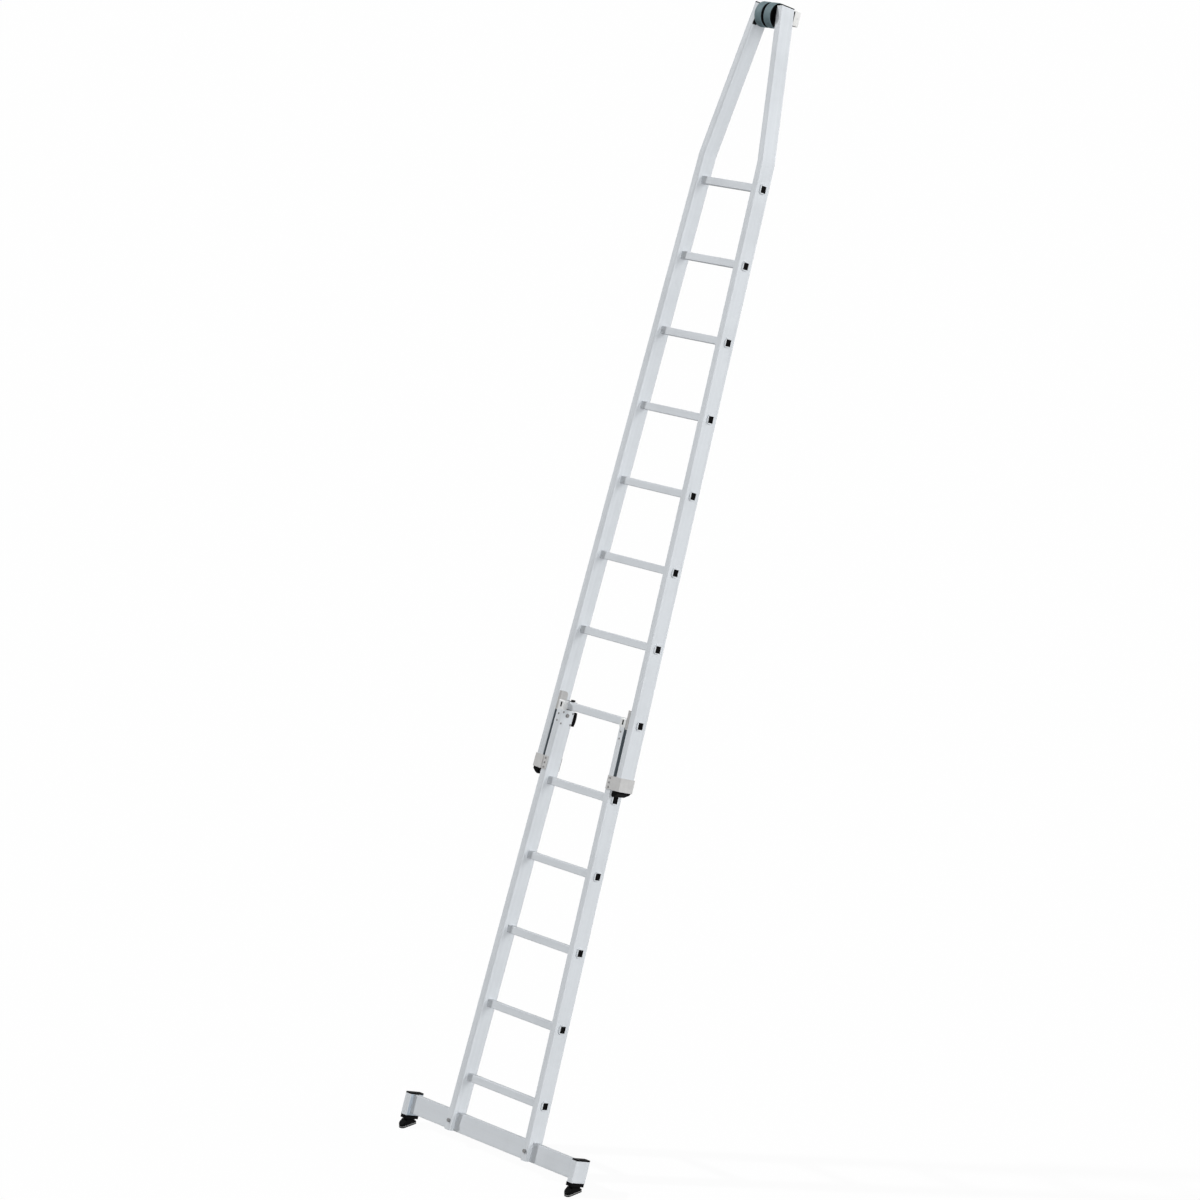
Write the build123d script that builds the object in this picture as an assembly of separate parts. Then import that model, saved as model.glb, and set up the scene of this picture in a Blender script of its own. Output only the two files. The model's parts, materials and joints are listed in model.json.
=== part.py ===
# Two-section window cleaning ladder with a foot bar, tip wheels and a wall pad.
# Pieces are drawn in the ladder's own frame: x across, y from the front face of the
# stiles to the rear, z up along the ladder from the middle of the lowest rung.
# They are then leaned back about the x axis and set on the floor, with the origin
# on the floor below the pivots of the feet, midway between them. Millimetres.
from build123d import *
from math import cos, radians, sin, tan
import os

os.makedirs("parts", exist_ok=True)

# Stance
LEAN = 20.0

# Stiles: box extrusions, rounder towards the rungs than on the outside
STILE_THICK = 27.0
STILE_DEPTH = 70.0
STILE_WALL = 2.2
STILE_INNER_ROUND = 7.0
STILE_OUTER_ROUND = 1.5
TAPER = 1.5
TIP_TAPER = 9.0
BEND_RADIUS = 150.0
LOWER_HALF_WIDTH = 206.8
SECTION_GAP = 11.3
UPPER_TAIL = 243.0
TIP_RISE = 94.8
TIP_LENGTH = 570.0

# Rungs: square tubes with a flared bead outside each stile
PITCH = 280.0
JOIN_DROP = 1.0
LOWER_RUNGS = 5
UPPER_RUNGS = 8
RUNG = 28.0
RUNG_WALL = 1.4
RUNG_ROUND = 2.5
RUNG_HOLE_CLEARANCE = 0.1
BEAD = 35.0
BEAD_ROUND = 12.0
BEAD_PROUD = 4.7
BEAD_EDGE = 1.5
PLUG_LENGTH = 12.0
PLUG_RECESS = 0.5

# Foot bar and its upright end tubes
TRAVERSE_TOP = -134.0
TRAVERSE_HEIGHT = 70.0
TRAVERSE_DEPTH = 27.0
TRAVERSE_WALL = 2.5
TRAVERSE_ROUND = 2.0
TRAVERSE_SLOT_CLEARANCE = 0.2
FOOT_BAR_HALF = 446.5
END_TUBE_HEIGHT = 79.0
END_TUBE_SETBACK = 4.5
END_CAP_THICK = 5.5
INSERT_LENGTH = 24.0

# Bolts and rivets
BOLT = 8.0
BOLT_HEAD = 13.0
BOLT_HEAD_HEIGHT = 5.3
NUT_HEIGHT = 6.5
BOLT_END = 1.5
RIVET_HEAD = 8.0
RIVET_HEAD_HEIGHT = 2.2
RIVET_SHANK = 4.8
RIVET_LENGTH = 5.0
RUNNING_CLEARANCE = 0.05

# Feet
SOCKET_HEIGHT = 13.0
SOCKET_WIDTH = 29.0
SOCKET_DEPTH = 71.0
SOCKET_ROUND = 7.0
CAVITY_WIDTH = 21.0
CAVITY_DEPTH = 60.0
CAVITY_ROUND = 4.0
FOOT_PIVOT_DROP = 7.5
FOOT_PIN = 7.0
FOOT_PIN_COVER = 1.2
FOOT_RISE = 31.5
LUG_RADIUS = 6.5
LUG_WIDTH = 19.0
LUG_SPREAD = 42.0
FOOT_GAP = 4.5
FOOT_SHOULDER = 44.0
FOOT_SHOULDER_SHIFT = 1.0
FOOT_WIDTH = 27.0
SOLE_FRONT = 47.0
SOLE_REAR = 25.0
SOLE_FRONT_ROUND = 12.0
SOLE_REAR_ROUND = 8.0
PAD_THICK = 8.0
PAD_GROOVE = 2.2
PAD_GROOVES = 6
PAD_RIM_GROOVE = 1.6

# Forks on top of the lower stiles
FORK_INSERT = 61.0
SEAT_DROP = 18.0
SEAT_CLEARANCE = 0.3
FORK_FLANGE = 1.2
LINER_THICK = 2.5
LINER_LIP = 3.0
PRONG_SETBACK = 0.5
PRONG_RISE = 16.0
PRONG_ROUND = 4.0
TAB_WIDTH = 7.0
TAB_HEIGHT = 18.0
FORK_RIVET_INSET = 10.0
FORK_RIVET_DROP = 8.5
FORK_RIVET_PITCH = 42.0

# Latches inside the forks
LATCH_THICK = 8.0
LATCH_SLOT = 9.5
LATCH_PIVOT_AHEAD = 3.5
LATCH_PIVOT_DROP = 19.0
LATCH_BOSS = 8.0
LATCH_ARM = 10.0
LATCH_POST = 6.5
LATCH_POST_BACK = 10.0
LATCH_NOSE_GAP = 1.6
LATCH_NOSE_HEIGHT = 7.0
LATCH_NOSE_LIFT = 1.0
LATCH_ROOM = 2.5
HANDLE_GAP = 13.0
HANDLE_THICK = 12.0
HANDLE_TOP = 4.0
HANDLE_HEIGHT = 52.0
HANDLE_BOW = 4.0

# Spacers on the inner faces of the upper stiles, around the lowest rung
SPACER_RISE = 47.0
SPACER_DROP = 23.0
SPACER_FRONT = 2.0
SPACER_DEPTH = 36.0
SPACER_ROUND = 14.0
SPACER_PLAY = 0.5

# Guide brackets at the lower ends of the upper stiles
BRACKET_HEIGHT = 49.0
BRACKET_OUTER_WALL = 4.0
BRACKET_OUTER_FRONT = 1.6
BRACKET_INNER_FRONT = 5.5
BRACKET_FLANGE_FRONT = 2.8
BRACKET_SHORT = 4.0
GLIDE_THICK = 0.6
GLIDE_CLEARANCE = 0.3
BRACKET_RIVETS = 3
BRACKET_RIVET_PITCH = 16.5

# Feet of the upper stiles
END_FOOT_FRONT = 19.0
END_FOOT_TOE = 4.0
END_FOOT_HEEL = 54.0
END_FOOT_HEEL_HEIGHT = 19.0
END_FOOT_CUT_WIDTH = 19.0
END_FOOT_CUT_HEIGHT = 15.0

# Tip: caps, wheels and wall pad
TIP_CAP_THICK = 4.0
CHEEK_GAP = 1.1
CHEEK_DEPTH = 5.35
CHEEK_RADIUS = 41.0
CHEEK_LIP = 2.0
TOE_DROP = 77.0
TOE_HEIGHT = 13.0
TOE_DEPTH = 12.0
TOE_WRAP = 1.5
TIP_INSERT = 72.0
AXLE = 12.0
AXLE_GRIP = 8.0
AXLE_FRONT = 24.5
AXLE_DROP = 36.5
WHEEL_RADIUS = 46.4
TYRE_THICK = 4.0
TYRE_SHOULDER = 2.5
WHEEL_GAP = 13.0
HUB_RADIUS = 14.0
HUB_RECESS = 5.0
RIM_THICK = 6.0
WEB_THICK = 9.0
SPACER_WALL = 4.0
SPACER_CLEARANCE = 0.25
CARRIER_THICK = 11.0
CARRIER_HEIGHT = 46.0
CARRIER_INSET = 9.3
CARRIER_DROP = 9.0
CARRIER_RELIEF = 1.5
WALL_PAD_THICK = 32.0
WALL_PAD_OVERHANG = 4.5
WALL_PAD_SIDE = 2.0
WALL_PAD_ROUND = 6.0
PAD_SCREW_HEAD = 7.0
PAD_SCREW_HEAD_HEIGHT = 0.6
PAD_SCREW = 4.0
PAD_SCREW_LENGTH = 20.0

# Heights and places that follow from the sizes above
MID = STILE_DEPTH / 2
LEAN_UP = cos(radians(TAPER))
TAPER_RATE = tan(radians(TAPER))
JOIN_Z = LOWER_RUNGS * PITCH - JOIN_DROP
LOWER_TOP = JOIN_Z - SEAT_DROP
LOWER_BOTTOM = TRAVERSE_TOP - TRAVERSE_HEIGHT
UPPER_BOTTOM = JOIN_Z - UPPER_TAIL
BEND_Z = JOIN_Z + (UPPER_RUNGS - 1) * PITCH + TIP_RISE
UPPER_HALF_WIDTH = (
    LOWER_HALF_WIDTH - JOIN_Z * TAPER_RATE + SECTION_GAP + STILE_THICK / LEAN_UP
)
END_TUBE_BOTTOM = TRAVERSE_TOP - END_TUBE_HEIGHT
SOCKET_BOTTOM = END_TUBE_BOTTOM - SOCKET_HEIGHT
FOOT_PIVOT_Z = END_TUBE_BOTTOM - FOOT_PIVOT_DROP
FOOT_X = FOOT_BAR_HALF - STILE_THICK / 2
FOOT_Y = MID + END_TUBE_SETBACK
GAP_ACROSS = SECTION_GAP * LEAN_UP
SPACER_WIDTH = GAP_ACROSS - SPACER_PLAY

# Frames of the right-hand stiles: x outwards from the outer face, z along the stile
LOWER_SIDE = Pos(LOWER_HALF_WIDTH, 0, 0) * Rot(0, -TAPER, 0)
UPPER_SIDE = Pos(UPPER_HALF_WIDTH, 0, JOIN_Z) * Rot(0, -TAPER, 0)
BEND_ALONG = (BEND_Z - JOIN_Z) / LEAN_UP
TIP_SIDE = UPPER_SIDE * Pos(0, 0, BEND_ALONG) * Rot(0, TAPER - TIP_TAPER, 0)

# The finished ladder leans back, with the foot pivots FOOT_RISE above the floor
LEAN_COS = cos(radians(LEAN))
LEAN_SIN = sin(radians(LEAN))
SHIFT_Y = -(FOOT_Y * LEAN_COS + FOOT_PIVOT_Z * LEAN_SIN)
SHIFT_Z = FOOT_RISE - (FOOT_PIVOT_Z * LEAN_COS - FOOT_Y * LEAN_SIN)
LEANING = Pos(0, SHIFT_Y, SHIFT_Z) * Rot(-LEAN, 0, 0)


def leaned(y, z):
    """Place of a point of the ladder's middle plane once the ladder leans."""
    return (y * LEAN_COS + z * LEAN_SIN + SHIFT_Y, z * LEAN_COS - y * LEAN_SIN + SHIFT_Z)


def lower_along(z):
    """Distance along a lower stile at a height z of the ladder."""
    return z / LEAN_UP


def upper_along(z):
    """Distance along an upper stile at a height z of the ladder."""
    return (z - JOIN_Z) / LEAN_UP


def lower_half(z):
    """Half of the lower section's outer width at a height z."""
    return LOWER_HALF_WIDTH - z * TAPER_RATE


def upper_half(z):
    """Half of the upper section's outer width at a height z."""
    return UPPER_HALF_WIDTH - (z - JOIN_Z) * TAPER_RATE


def left_of(shape):
    """The left-hand twin of a right-hand piece."""
    return mirror(shape, about=Plane.YZ)


def group(solids):
    """Several separate solids as one node."""
    return Compound(children=list(solids))


def both_sides(solids):
    """Right-hand solids with their left-hand twins."""
    return group(solids + [left_of(solid) for solid in solids])


def outline(*points):
    """Flat face with straight sides."""
    return make_face(Polyline(*points, close=True))


def block(x_from, x_to, y_from, y_to, z_from, z_to):
    """Box between two corners."""
    size = (x_to - x_from, y_to - y_from, z_to - z_from)
    return Pos((x_from + x_to) / 2, (y_from + y_to) / 2, (z_from + z_to) / 2) * Box(*size)


def across(face, x_from, x_to):
    """Solid of a face drawn in y and z, run along x."""
    return Pos(x_from, 0, 0) * extrude(Plane.YZ * face, amount=x_to - x_from)


def upright(face, z_from, z_to):
    """Solid of a face drawn in x and y, run along z."""
    return Pos(0, 0, z_from) * extrude(face, amount=z_to - z_from)


def rod_x(radius, x_from, x_to, y, z):
    """Round bar along x."""
    return across(Pos(y, z) * Circle(radius), x_from, x_to)


def rod_y(radius, y_from, y_to, x, z):
    """Round bar along y."""
    return Pos(x, (y_from + y_to) / 2, z) * Rot(90, 0, 0) * Cylinder(radius, y_to - y_from)


def hexagon(width, height):
    """Hexagonal head or nut that stands on z = 0."""
    radius = width / 2 / cos(radians(30))
    return extrude(RegularPolygon(radius, 6), amount=height)


def rivet(length=RIVET_LENGTH):
    """Domed rivet, its head on z = 0 and its shank below."""
    head = Pos(0, 0, RIVET_HEAD_HEIGHT / 2) * Cylinder(RIVET_HEAD / 2, RIVET_HEAD_HEIGHT)
    head = fillet(head.edges().group_by(Axis.Z)[-1], 0.8 * RIVET_HEAD_HEIGHT)
    return head + Pos(0, 0, -length / 2) * Cylinder(RIVET_SHANK / 2, length)


def flush_rivet():
    """Countersunk rivet, level with z = 0."""
    sink = (RIVET_HEAD - RIVET_SHANK) / 2
    head = Pos(0, 0, -sink / 2) * Cone(RIVET_SHANK / 2, RIVET_HEAD / 2, sink)
    return head + Pos(0, 0, -RIVET_LENGTH / 2) * Cylinder(RIVET_SHANK / 2, RIVET_LENGTH)


def stile_section(inset=0.0, ease=0.0):
    """Cross-section of a stile, shrunk by inset, with its outer face on x = 0."""
    size = (STILE_THICK - 2 * inset, STILE_DEPTH - 2 * inset)
    face = Pos(-STILE_THICK / 2, MID) * Rectangle(*size)
    inner = max(STILE_INNER_ROUND - inset, STILE_WALL / 2) + ease
    outer = max(STILE_OUTER_ROUND - inset, STILE_WALL / 4) + ease
    face = fillet(face.vertices().group_by(Axis.X)[0], inner)
    return fillet(face.vertices().group_by(Axis.X)[-1], outer)


def stile_tube(start, end):
    """Straight length of stile along z."""
    return upright(stile_section() - stile_section(STILE_WALL), start, end)


def stile_insert(start, end):
    """Solid block that fills the inside of a stile, easier at its corners."""
    return upright(stile_section(STILE_WALL, 0.5 * STILE_WALL), start, end)


def rung_bar(size, rounding, half_length, z):
    """Square bar along x at a rung's height."""
    face = Pos(MID, z) * RectangleRounded(size, size, rounding)
    return across(face, -half_length, half_length)


def rung_hole(z):
    """Cutter for a rung's holes in the stiles."""
    size = RUNG + 2 * RUNG_HOLE_CLEARANCE
    return rung_bar(size, RUNG_ROUND + RUNG_HOLE_CLEARANCE, UPPER_HALF_WIDTH * 2, z)


def rung(z, side, along, half):
    """Rung with a bead on the outside of each stile, open at both ends."""
    bead = across(Pos(MID, along) * RectangleRounded(BEAD, BEAD, BEAD_ROUND), 0, BEAD_PROUD)
    bead = side * fillet(bead.edges().group_by(Axis.X)[-1], BEAD_EDGE)
    tube = rung_bar(RUNG, RUNG_ROUND, half + BEAD_PROUD / 2, z)
    mouth = rung_bar(RUNG - 2 * RUNG_WALL, RUNG_WALL / 2, half + 2 * BEAD_PROUD, z)
    return tube + bead + left_of(bead) - mouth


def rung_plug(z, half):
    """Plug in the right-hand end of a rung, a little below the mouth."""
    end = half + BEAD_PROUD / LEAN_UP - PLUG_RECESS
    size = RUNG - 2 * RUNG_WALL
    face = Pos(MID, z) * RectangleRounded(size, size, RUNG_WALL / 2)
    return across(face, end - PLUG_LENGTH, end)


def lower_rung_heights():
    return [number * PITCH for number in range(LOWER_RUNGS)]


def upper_rung_heights():
    return [JOIN_Z + number * PITCH for number in range(UPPER_RUNGS)]


# Foot bar
TRAVERSE_MID = TRAVERSE_TOP - TRAVERSE_HEIGHT / 2
TRAVERSE_BOLT_X = lower_half(TRAVERSE_MID) - STILE_THICK / 2


def traverse_section(inset, rounding):
    size = (TRAVERSE_DEPTH - 2 * inset, TRAVERSE_HEIGHT - 2 * inset)
    return Pos(MID, TRAVERSE_MID) * RectangleRounded(*size, rounding)


def traverse_bolt_hole(x):
    return rod_y(BOLT / 2 + RUNNING_CLEARANCE, -STILE_DEPTH, 2 * STILE_DEPTH, x, TRAVERSE_MID)


def traverse():
    half = FOOT_BAR_HALF - STILE_THICK
    hollow = traverse_section(TRAVERSE_WALL, TRAVERSE_ROUND / 2)
    tube = across(traverse_section(0, TRAVERSE_ROUND) - hollow, -half, half)
    return tube - traverse_bolt_hole(TRAVERSE_BOLT_X) - traverse_bolt_hole(-TRAVERSE_BOLT_X)


def traverse_bolt():
    """Bolt from the front of a stile through the foot bar to the rear."""
    head = Pos(TRAVERSE_BOLT_X, 0, TRAVERSE_MID) * Rot(90, 0, 0)
    end = STILE_DEPTH + NUT_HEIGHT + BOLT_END
    shank = rod_y(BOLT / 2, 0, end, TRAVERSE_BOLT_X, TRAVERSE_MID)
    return head * hexagon(BOLT_HEAD, BOLT_HEAD_HEIGHT) + shank


def traverse_nut():
    nut = Pos(TRAVERSE_BOLT_X, STILE_DEPTH, TRAVERSE_MID) * Rot(-90, 0, 0)
    bore = rod_y(BOLT / 2, 0, 2 * STILE_DEPTH, TRAVERSE_BOLT_X, TRAVERSE_MID)
    return nut * hexagon(BOLT_HEAD, NUT_HEIGHT) - bore


END_TUBE = Pos(FOOT_BAR_HALF, END_TUBE_SETBACK, 0)


def end_tube():
    return END_TUBE * stile_tube(END_TUBE_BOTTOM, TRAVERSE_TOP)


def end_cap():
    """Cap on an end tube, with a block that grips inside it."""
    plate = upright(stile_section(), TRAVERSE_TOP, TRAVERSE_TOP + END_CAP_THICK)
    plate = chamfer(plate.edges().group_by(Axis.Z)[-1], STILE_OUTER_ROUND / 2)
    return END_TUBE * (plate + stile_insert(TRAVERSE_TOP - INSERT_LENGTH, TRAVERSE_TOP))


# Feet
def foot_socket():
    """Collar below an end tube, hollow for the lug of the foot."""
    face = Pos(-STILE_THICK / 2, MID) * RectangleRounded(SOCKET_WIDTH, SOCKET_DEPTH, SOCKET_ROUND)
    collar = upright(face, SOCKET_BOTTOM, END_TUBE_BOTTOM)
    hollow = Pos(-STILE_THICK / 2, MID) * RectangleRounded(CAVITY_WIDTH, CAVITY_DEPTH, CAVITY_ROUND)
    collar += stile_insert(END_TUBE_BOTTOM, END_TUBE_BOTTOM + INSERT_LENGTH)
    collar -= upright(hollow, SOCKET_BOTTOM, END_TUBE_BOTTOM)
    return END_TUBE * collar - foot_pin()


def foot_pin():
    half = SOCKET_WIDTH / 2 - FOOT_PIN_COVER
    return rod_x(FOOT_PIN / 2, FOOT_X - half, FOOT_X + half, FOOT_Y, FOOT_PIVOT_Z)


def sole_plan(z_from, z_to, inset=0.0):
    """Upright prism of the sole's outline, rounder in front."""
    length = SOLE_FRONT + SOLE_REAR - 2 * inset
    middle = (SOLE_REAR - SOLE_FRONT) / 2
    face = Pos(FOOT_X, middle) * Rectangle(FOOT_WIDTH - 2 * inset, length)
    face = fillet(face.vertices().group_by(Axis.Y)[0], SOLE_FRONT_ROUND - inset)
    face = fillet(face.vertices().group_by(Axis.Y)[-1], SOLE_REAR_ROUND - inset)
    return upright(face, z_from, z_to)


def foot():
    """Swivelling foot that stands level: a flared body with a lug on the pivot."""
    shoulder = SOCKET_BOTTOM - FOOT_GAP
    front = FOOT_Y + FOOT_SHOULDER_SHIFT - FOOT_SHOULDER / 2
    rear = FOOT_Y + FOOT_SHOULDER_SHIFT + FOOT_SHOULDER / 2
    side = outline(
        (-SOLE_FRONT, PAD_THICK),
        (-SOLE_FRONT, PAD_THICK + 2 * PAD_GROOVE),
        leaned(front, shoulder),
        leaned(rear, shoulder),
        (SOLE_REAR, PAD_THICK),
    )
    body = across(side, FOOT_X - FOOT_WIDTH / 2, FOOT_X + FOOT_WIDTH / 2)
    body &= sole_plan(PAD_THICK, 2 * FOOT_RISE)
    lug = outline(
        (FOOT_Y - LUG_RADIUS, FOOT_PIVOT_Z),
        (FOOT_Y + LUG_RADIUS, FOOT_PIVOT_Z),
        (FOOT_Y + LUG_SPREAD / 2, SOCKET_BOTTOM),
        (FOOT_Y + LUG_SPREAD / 2, shoulder - PAD_GROOVE),
        (FOOT_Y - LUG_SPREAD / 2, shoulder - PAD_GROOVE),
        (FOOT_Y - LUG_SPREAD / 2, SOCKET_BOTTOM),
    )
    lug += Pos(FOOT_Y, FOOT_PIVOT_Z) * Circle(LUG_RADIUS)
    bore = Pos(FOOT_Y, FOOT_PIVOT_Z) * Circle(FOOT_PIN / 2 + RUNNING_CLEARANCE)
    lug = across(lug, FOOT_X - LUG_WIDTH / 2, FOOT_X + LUG_WIDTH / 2)
    bore = across(bore, FOOT_X - FOOT_WIDTH, FOOT_X + FOOT_WIDTH)
    return body + LEANING * lug - LEANING * bore


def foot_pad():
    """Rubber sole with grooves across its underside and one around its rim."""
    pad = sole_plan(0, PAD_THICK)
    step = (SOLE_FRONT + SOLE_REAR) / (PAD_GROOVES + 1)
    for number in range(PAD_GROOVES):
        y = -SOLE_FRONT + (number + 1) * step
        half = PAD_GROOVE / 2
        pad -= block(FOOT_X - FOOT_WIDTH, FOOT_X + FOOT_WIDTH, y - half, y + half, 0, PAD_GROOVE)
    rim = PAD_THICK - 2 * PAD_RIM_GROOVE
    groove = sole_plan(rim, rim + PAD_RIM_GROOVE)
    return pad - (groove - sole_plan(rim, rim + PAD_RIM_GROOVE, PAD_RIM_GROOVE))


# Forks: a seat for the lowest rung of the upper section
SEAT_HALF = RUNG / 2 + SEAT_CLEARANCE
SEAT_BOTTOM = JOIN_Z - SEAT_HALF
PRONG_TOP = JOIN_Z + PRONG_RISE
LINER_HALF = SEAT_HALF + LINER_THICK
LINER_BOTTOM = SEAT_BOTTOM - LINER_THICK
STILE_MID = -STILE_THICK / 2
FAR = STILE_DEPTH


def seat_cut(half, bottom):
    """Cutter of the seat's width, open upwards, in line with the rung."""
    half_length = UPPER_HALF_WIDTH
    return block(-half_length, half_length, MID - half, MID + half, bottom, JOIN_Z + FAR)


def liner_space():
    """Space of the liner above a lower stile, inside the fork's lips."""
    top = lower_along(PRONG_TOP)
    bottom = lower_along(LOWER_TOP)
    lipped = block(LINER_LIP - STILE_THICK, -LINER_LIP, 0, STILE_DEPTH, bottom, top)
    floor = block(-STILE_THICK, 0, MID - SEAT_HALF, MID + SEAT_HALF, bottom, top)
    return LOWER_SIDE * (lipped + floor)


def latch_slot():
    """Room for the latch in the fork, the liner and the rear wall of the stile."""
    half = LATCH_SLOT / 2
    low = lower_along(LATCH_PIVOT_Z - LATCH_BOSS - LATCH_ROOM)
    ceiling = lower_along(LOWER_TOP) - FORK_FLANGE
    front = LATCH_PIVOT_Y - LATCH_BOSS - LATCH_ROOM
    rear = STILE_DEPTH + FAR
    under = block(STILE_MID - half, STILE_MID + half, front, rear, low, ceiling)
    behind = MID + SEAT_HALF
    back = block(STILE_MID - half, STILE_MID + half, behind, rear, low, ceiling + FAR)
    return LOWER_SIDE * (under + back)


def liner_tab():
    """Tab of the liner that shows through the front prong."""
    middle = lower_along((LINER_BOTTOM + PRONG_TOP) / 2)
    tab = block(
        STILE_MID - TAB_WIDTH / 2,
        STILE_MID + TAB_WIDTH / 2,
        PRONG_SETBACK,
        MID - SEAT_HALF,
        middle - TAB_HEIGHT / 2,
        middle + TAB_HEIGHT / 2,
    )
    return LOWER_SIDE * tab


def fork():
    """Cast fork: a block in the stile and two prongs, with lips beside the liner."""
    base = lower_along(LOWER_TOP)
    top = lower_along(PRONG_TOP)
    insert = stile_insert(base - FORK_INSERT, base)
    head = block(-STILE_THICK, 0, PRONG_SETBACK, STILE_DEPTH - PRONG_SETBACK, base, top)
    head = fillet(head.edges().filter_by(Axis.X).group_by(Axis.Z)[-1], PRONG_ROUND)
    body = LOWER_SIDE * (insert + head) - seat_cut(SEAT_HALF, SEAT_BOTTOM)
    body -= liner_space() & seat_cut(LINER_HALF, LINER_BOTTOM)
    body = body - liner_tab() - latch_slot() - latch_bolt_hole()
    for solid in fork_rivets():
        body -= solid
    return body


def seat_liner():
    """U-shaped liner of a fork's seat, with a tab that shows in front."""
    shell = liner_space() & seat_cut(LINER_HALF, LINER_BOTTOM)
    return shell + liner_tab() - seat_cut(SEAT_HALF, SEAT_BOTTOM) - latch_slot()


def fork_rivets():
    """Domed rivets on the inner face of a lower stile, flush ones on its front face."""
    rivets = []
    top = lower_along(LOWER_TOP - FORK_RIVET_DROP)
    for y in (FORK_RIVET_INSET, STILE_DEPTH - FORK_RIVET_INSET):
        for z in (top, top - FORK_RIVET_PITCH):
            rivets.append(Pos(-STILE_THICK, y, z) * Rot(0, -90, 0) * rivet())
    for z in (top - FORK_RIVET_DROP, top - FORK_RIVET_PITCH + FORK_RIVET_DROP):
        rivets.append(Pos(STILE_MID, 0, z) * Rot(90, 0, 0) * flush_rivet())
    return [LOWER_SIDE * solid for solid in rivets]


# Latches: levers that swing over the rung from behind
LATCH_PIVOT_Y = MID - LATCH_PIVOT_AHEAD
LATCH_PIVOT_Z = LOWER_TOP - LATCH_PIVOT_DROP
NOSE_Y = MID + RUNG / 2 + LATCH_NOSE_GAP
NOSE_Z = JOIN_Z + RUNG / 2 + LATCH_NOSE_LIFT


def latch_outline():
    """Side view of a latch: a lever that clears the rung by LATCH_NOSE_GAP, and its handle."""
    post_front = NOSE_Y + LATCH_POST_BACK - LATCH_NOSE_GAP
    post_rear = post_front + LATCH_POST
    handle_front = STILE_DEPTH + HANDLE_GAP
    handle_rear = handle_front + HANDLE_THICK
    handle_top = LOWER_TOP - HANDLE_TOP
    handle_low = handle_top - HANDLE_HEIGHT
    arm_low = handle_top - LATCH_ARM
    lever = outline(
        (LATCH_PIVOT_Y, LATCH_PIVOT_Z - LATCH_BOSS),
        (post_rear, arm_low - LATCH_BOSS / 2),
        (handle_front, arm_low),
        (handle_front, handle_top),
        (post_rear, handle_top),
        (post_rear, NOSE_Z + LATCH_NOSE_HEIGHT),
        (NOSE_Y, NOSE_Z + LATCH_NOSE_HEIGHT),
        (NOSE_Y, NOSE_Z),
        (post_front, NOSE_Z),
        (post_front, LOWER_TOP - LATCH_ARM),
        (LATCH_PIVOT_Y, LATCH_PIVOT_Z + LATCH_BOSS),
    )
    bowed = ThreePointArc(
        (handle_rear - HANDLE_BOW, handle_top),
        (handle_rear, (handle_top + handle_low) / 2),
        (handle_rear - HANDLE_BOW, handle_low),
    )
    grip = Polyline(bowed @ 1, (handle_front, handle_low), (handle_front, handle_top), bowed @ 0)
    boss = Pos(LATCH_PIVOT_Y, LATCH_PIVOT_Z) * Circle(LATCH_BOSS)
    return lever + boss + make_face(bowed + grip)


def latch():
    """Latch lever in the middle of a lower stile's top."""
    lift = lower_along(LATCH_PIVOT_Z) - LATCH_PIVOT_Z
    bore = Pos(LATCH_PIVOT_Y, LATCH_PIVOT_Z) * Circle(BOLT / 2 + RUNNING_CLEARANCE)
    face = latch_outline() - bore
    half = LATCH_THICK / 2
    return LOWER_SIDE * Pos(0, 0, lift) * across(face, STILE_MID - half, STILE_MID + half)


def latch_bolt_rod(radius):
    """Round bar through a lower stile on the latch's axis, out to the nut's end."""
    end = NUT_HEIGHT + BOLT_END
    return rod_x(radius, -STILE_THICK, end, LATCH_PIVOT_Y, lower_along(LATCH_PIVOT_Z))


def latch_bolt_hole():
    return LOWER_SIDE * latch_bolt_rod(BOLT / 2)


def latch_bolt():
    place = Pos(-STILE_THICK, LATCH_PIVOT_Y, lower_along(LATCH_PIVOT_Z)) * Rot(0, -90, 0)
    return LOWER_SIDE * (place * hexagon(BOLT_HEAD, BOLT_HEAD_HEIGHT) + latch_bolt_rod(BOLT / 2))


def latch_nut():
    place = Pos(0, LATCH_PIVOT_Y, lower_along(LATCH_PIVOT_Z)) * Rot(0, 90, 0)
    return LOWER_SIDE * (place * hexagon(BOLT_HEAD, NUT_HEIGHT) - latch_bolt_rod(BOLT / 2))


def lower_stile():
    """Lower stile with holes for its rungs, the foot bar, the fork and the latch."""
    tube = LOWER_SIDE * stile_tube(lower_along(LOWER_BOTTOM), lower_along(LOWER_TOP))
    for z in lower_rung_heights():
        tube -= rung_hole(z)
    slot_half = TRAVERSE_DEPTH / 2 + TRAVERSE_SLOT_CLEARANCE
    low = LOWER_BOTTOM - STILE_DEPTH
    reach = 2 * LOWER_HALF_WIDTH
    tube -= block(-reach, reach, MID - slot_half, MID + slot_half, low, TRAVERSE_TOP)
    tube = tube - traverse_bolt_hole(TRAVERSE_BOLT_X) - latch_bolt_hole() - latch_slot()
    for solid in fork_rivets():
        tube -= solid
    return tube


# Upper stiles
def tip_path():
    """Line of an upper stile's outer face, bent inwards below the tip."""
    turn = radians(TIP_TAPER - TAPER)
    reach = BEND_RADIUS * tan(turn / 2)
    start = (0, 0, upper_along(UPPER_BOTTOM))
    bend_from = (0, 0, BEND_ALONG - reach)
    bend_to = (-reach * sin(turn), 0, BEND_ALONG + reach * cos(turn))
    tip = (-TIP_LENGTH * sin(turn), 0, BEND_ALONG + TIP_LENGTH * cos(turn))
    first = Line(start, bend_from)
    bend = TangentArc(bend_from, bend_to, tangent=(0, 0, 1))
    return Wire([first.edge(), bend.edge(), Line(bend_to, tip).edge()])


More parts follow.
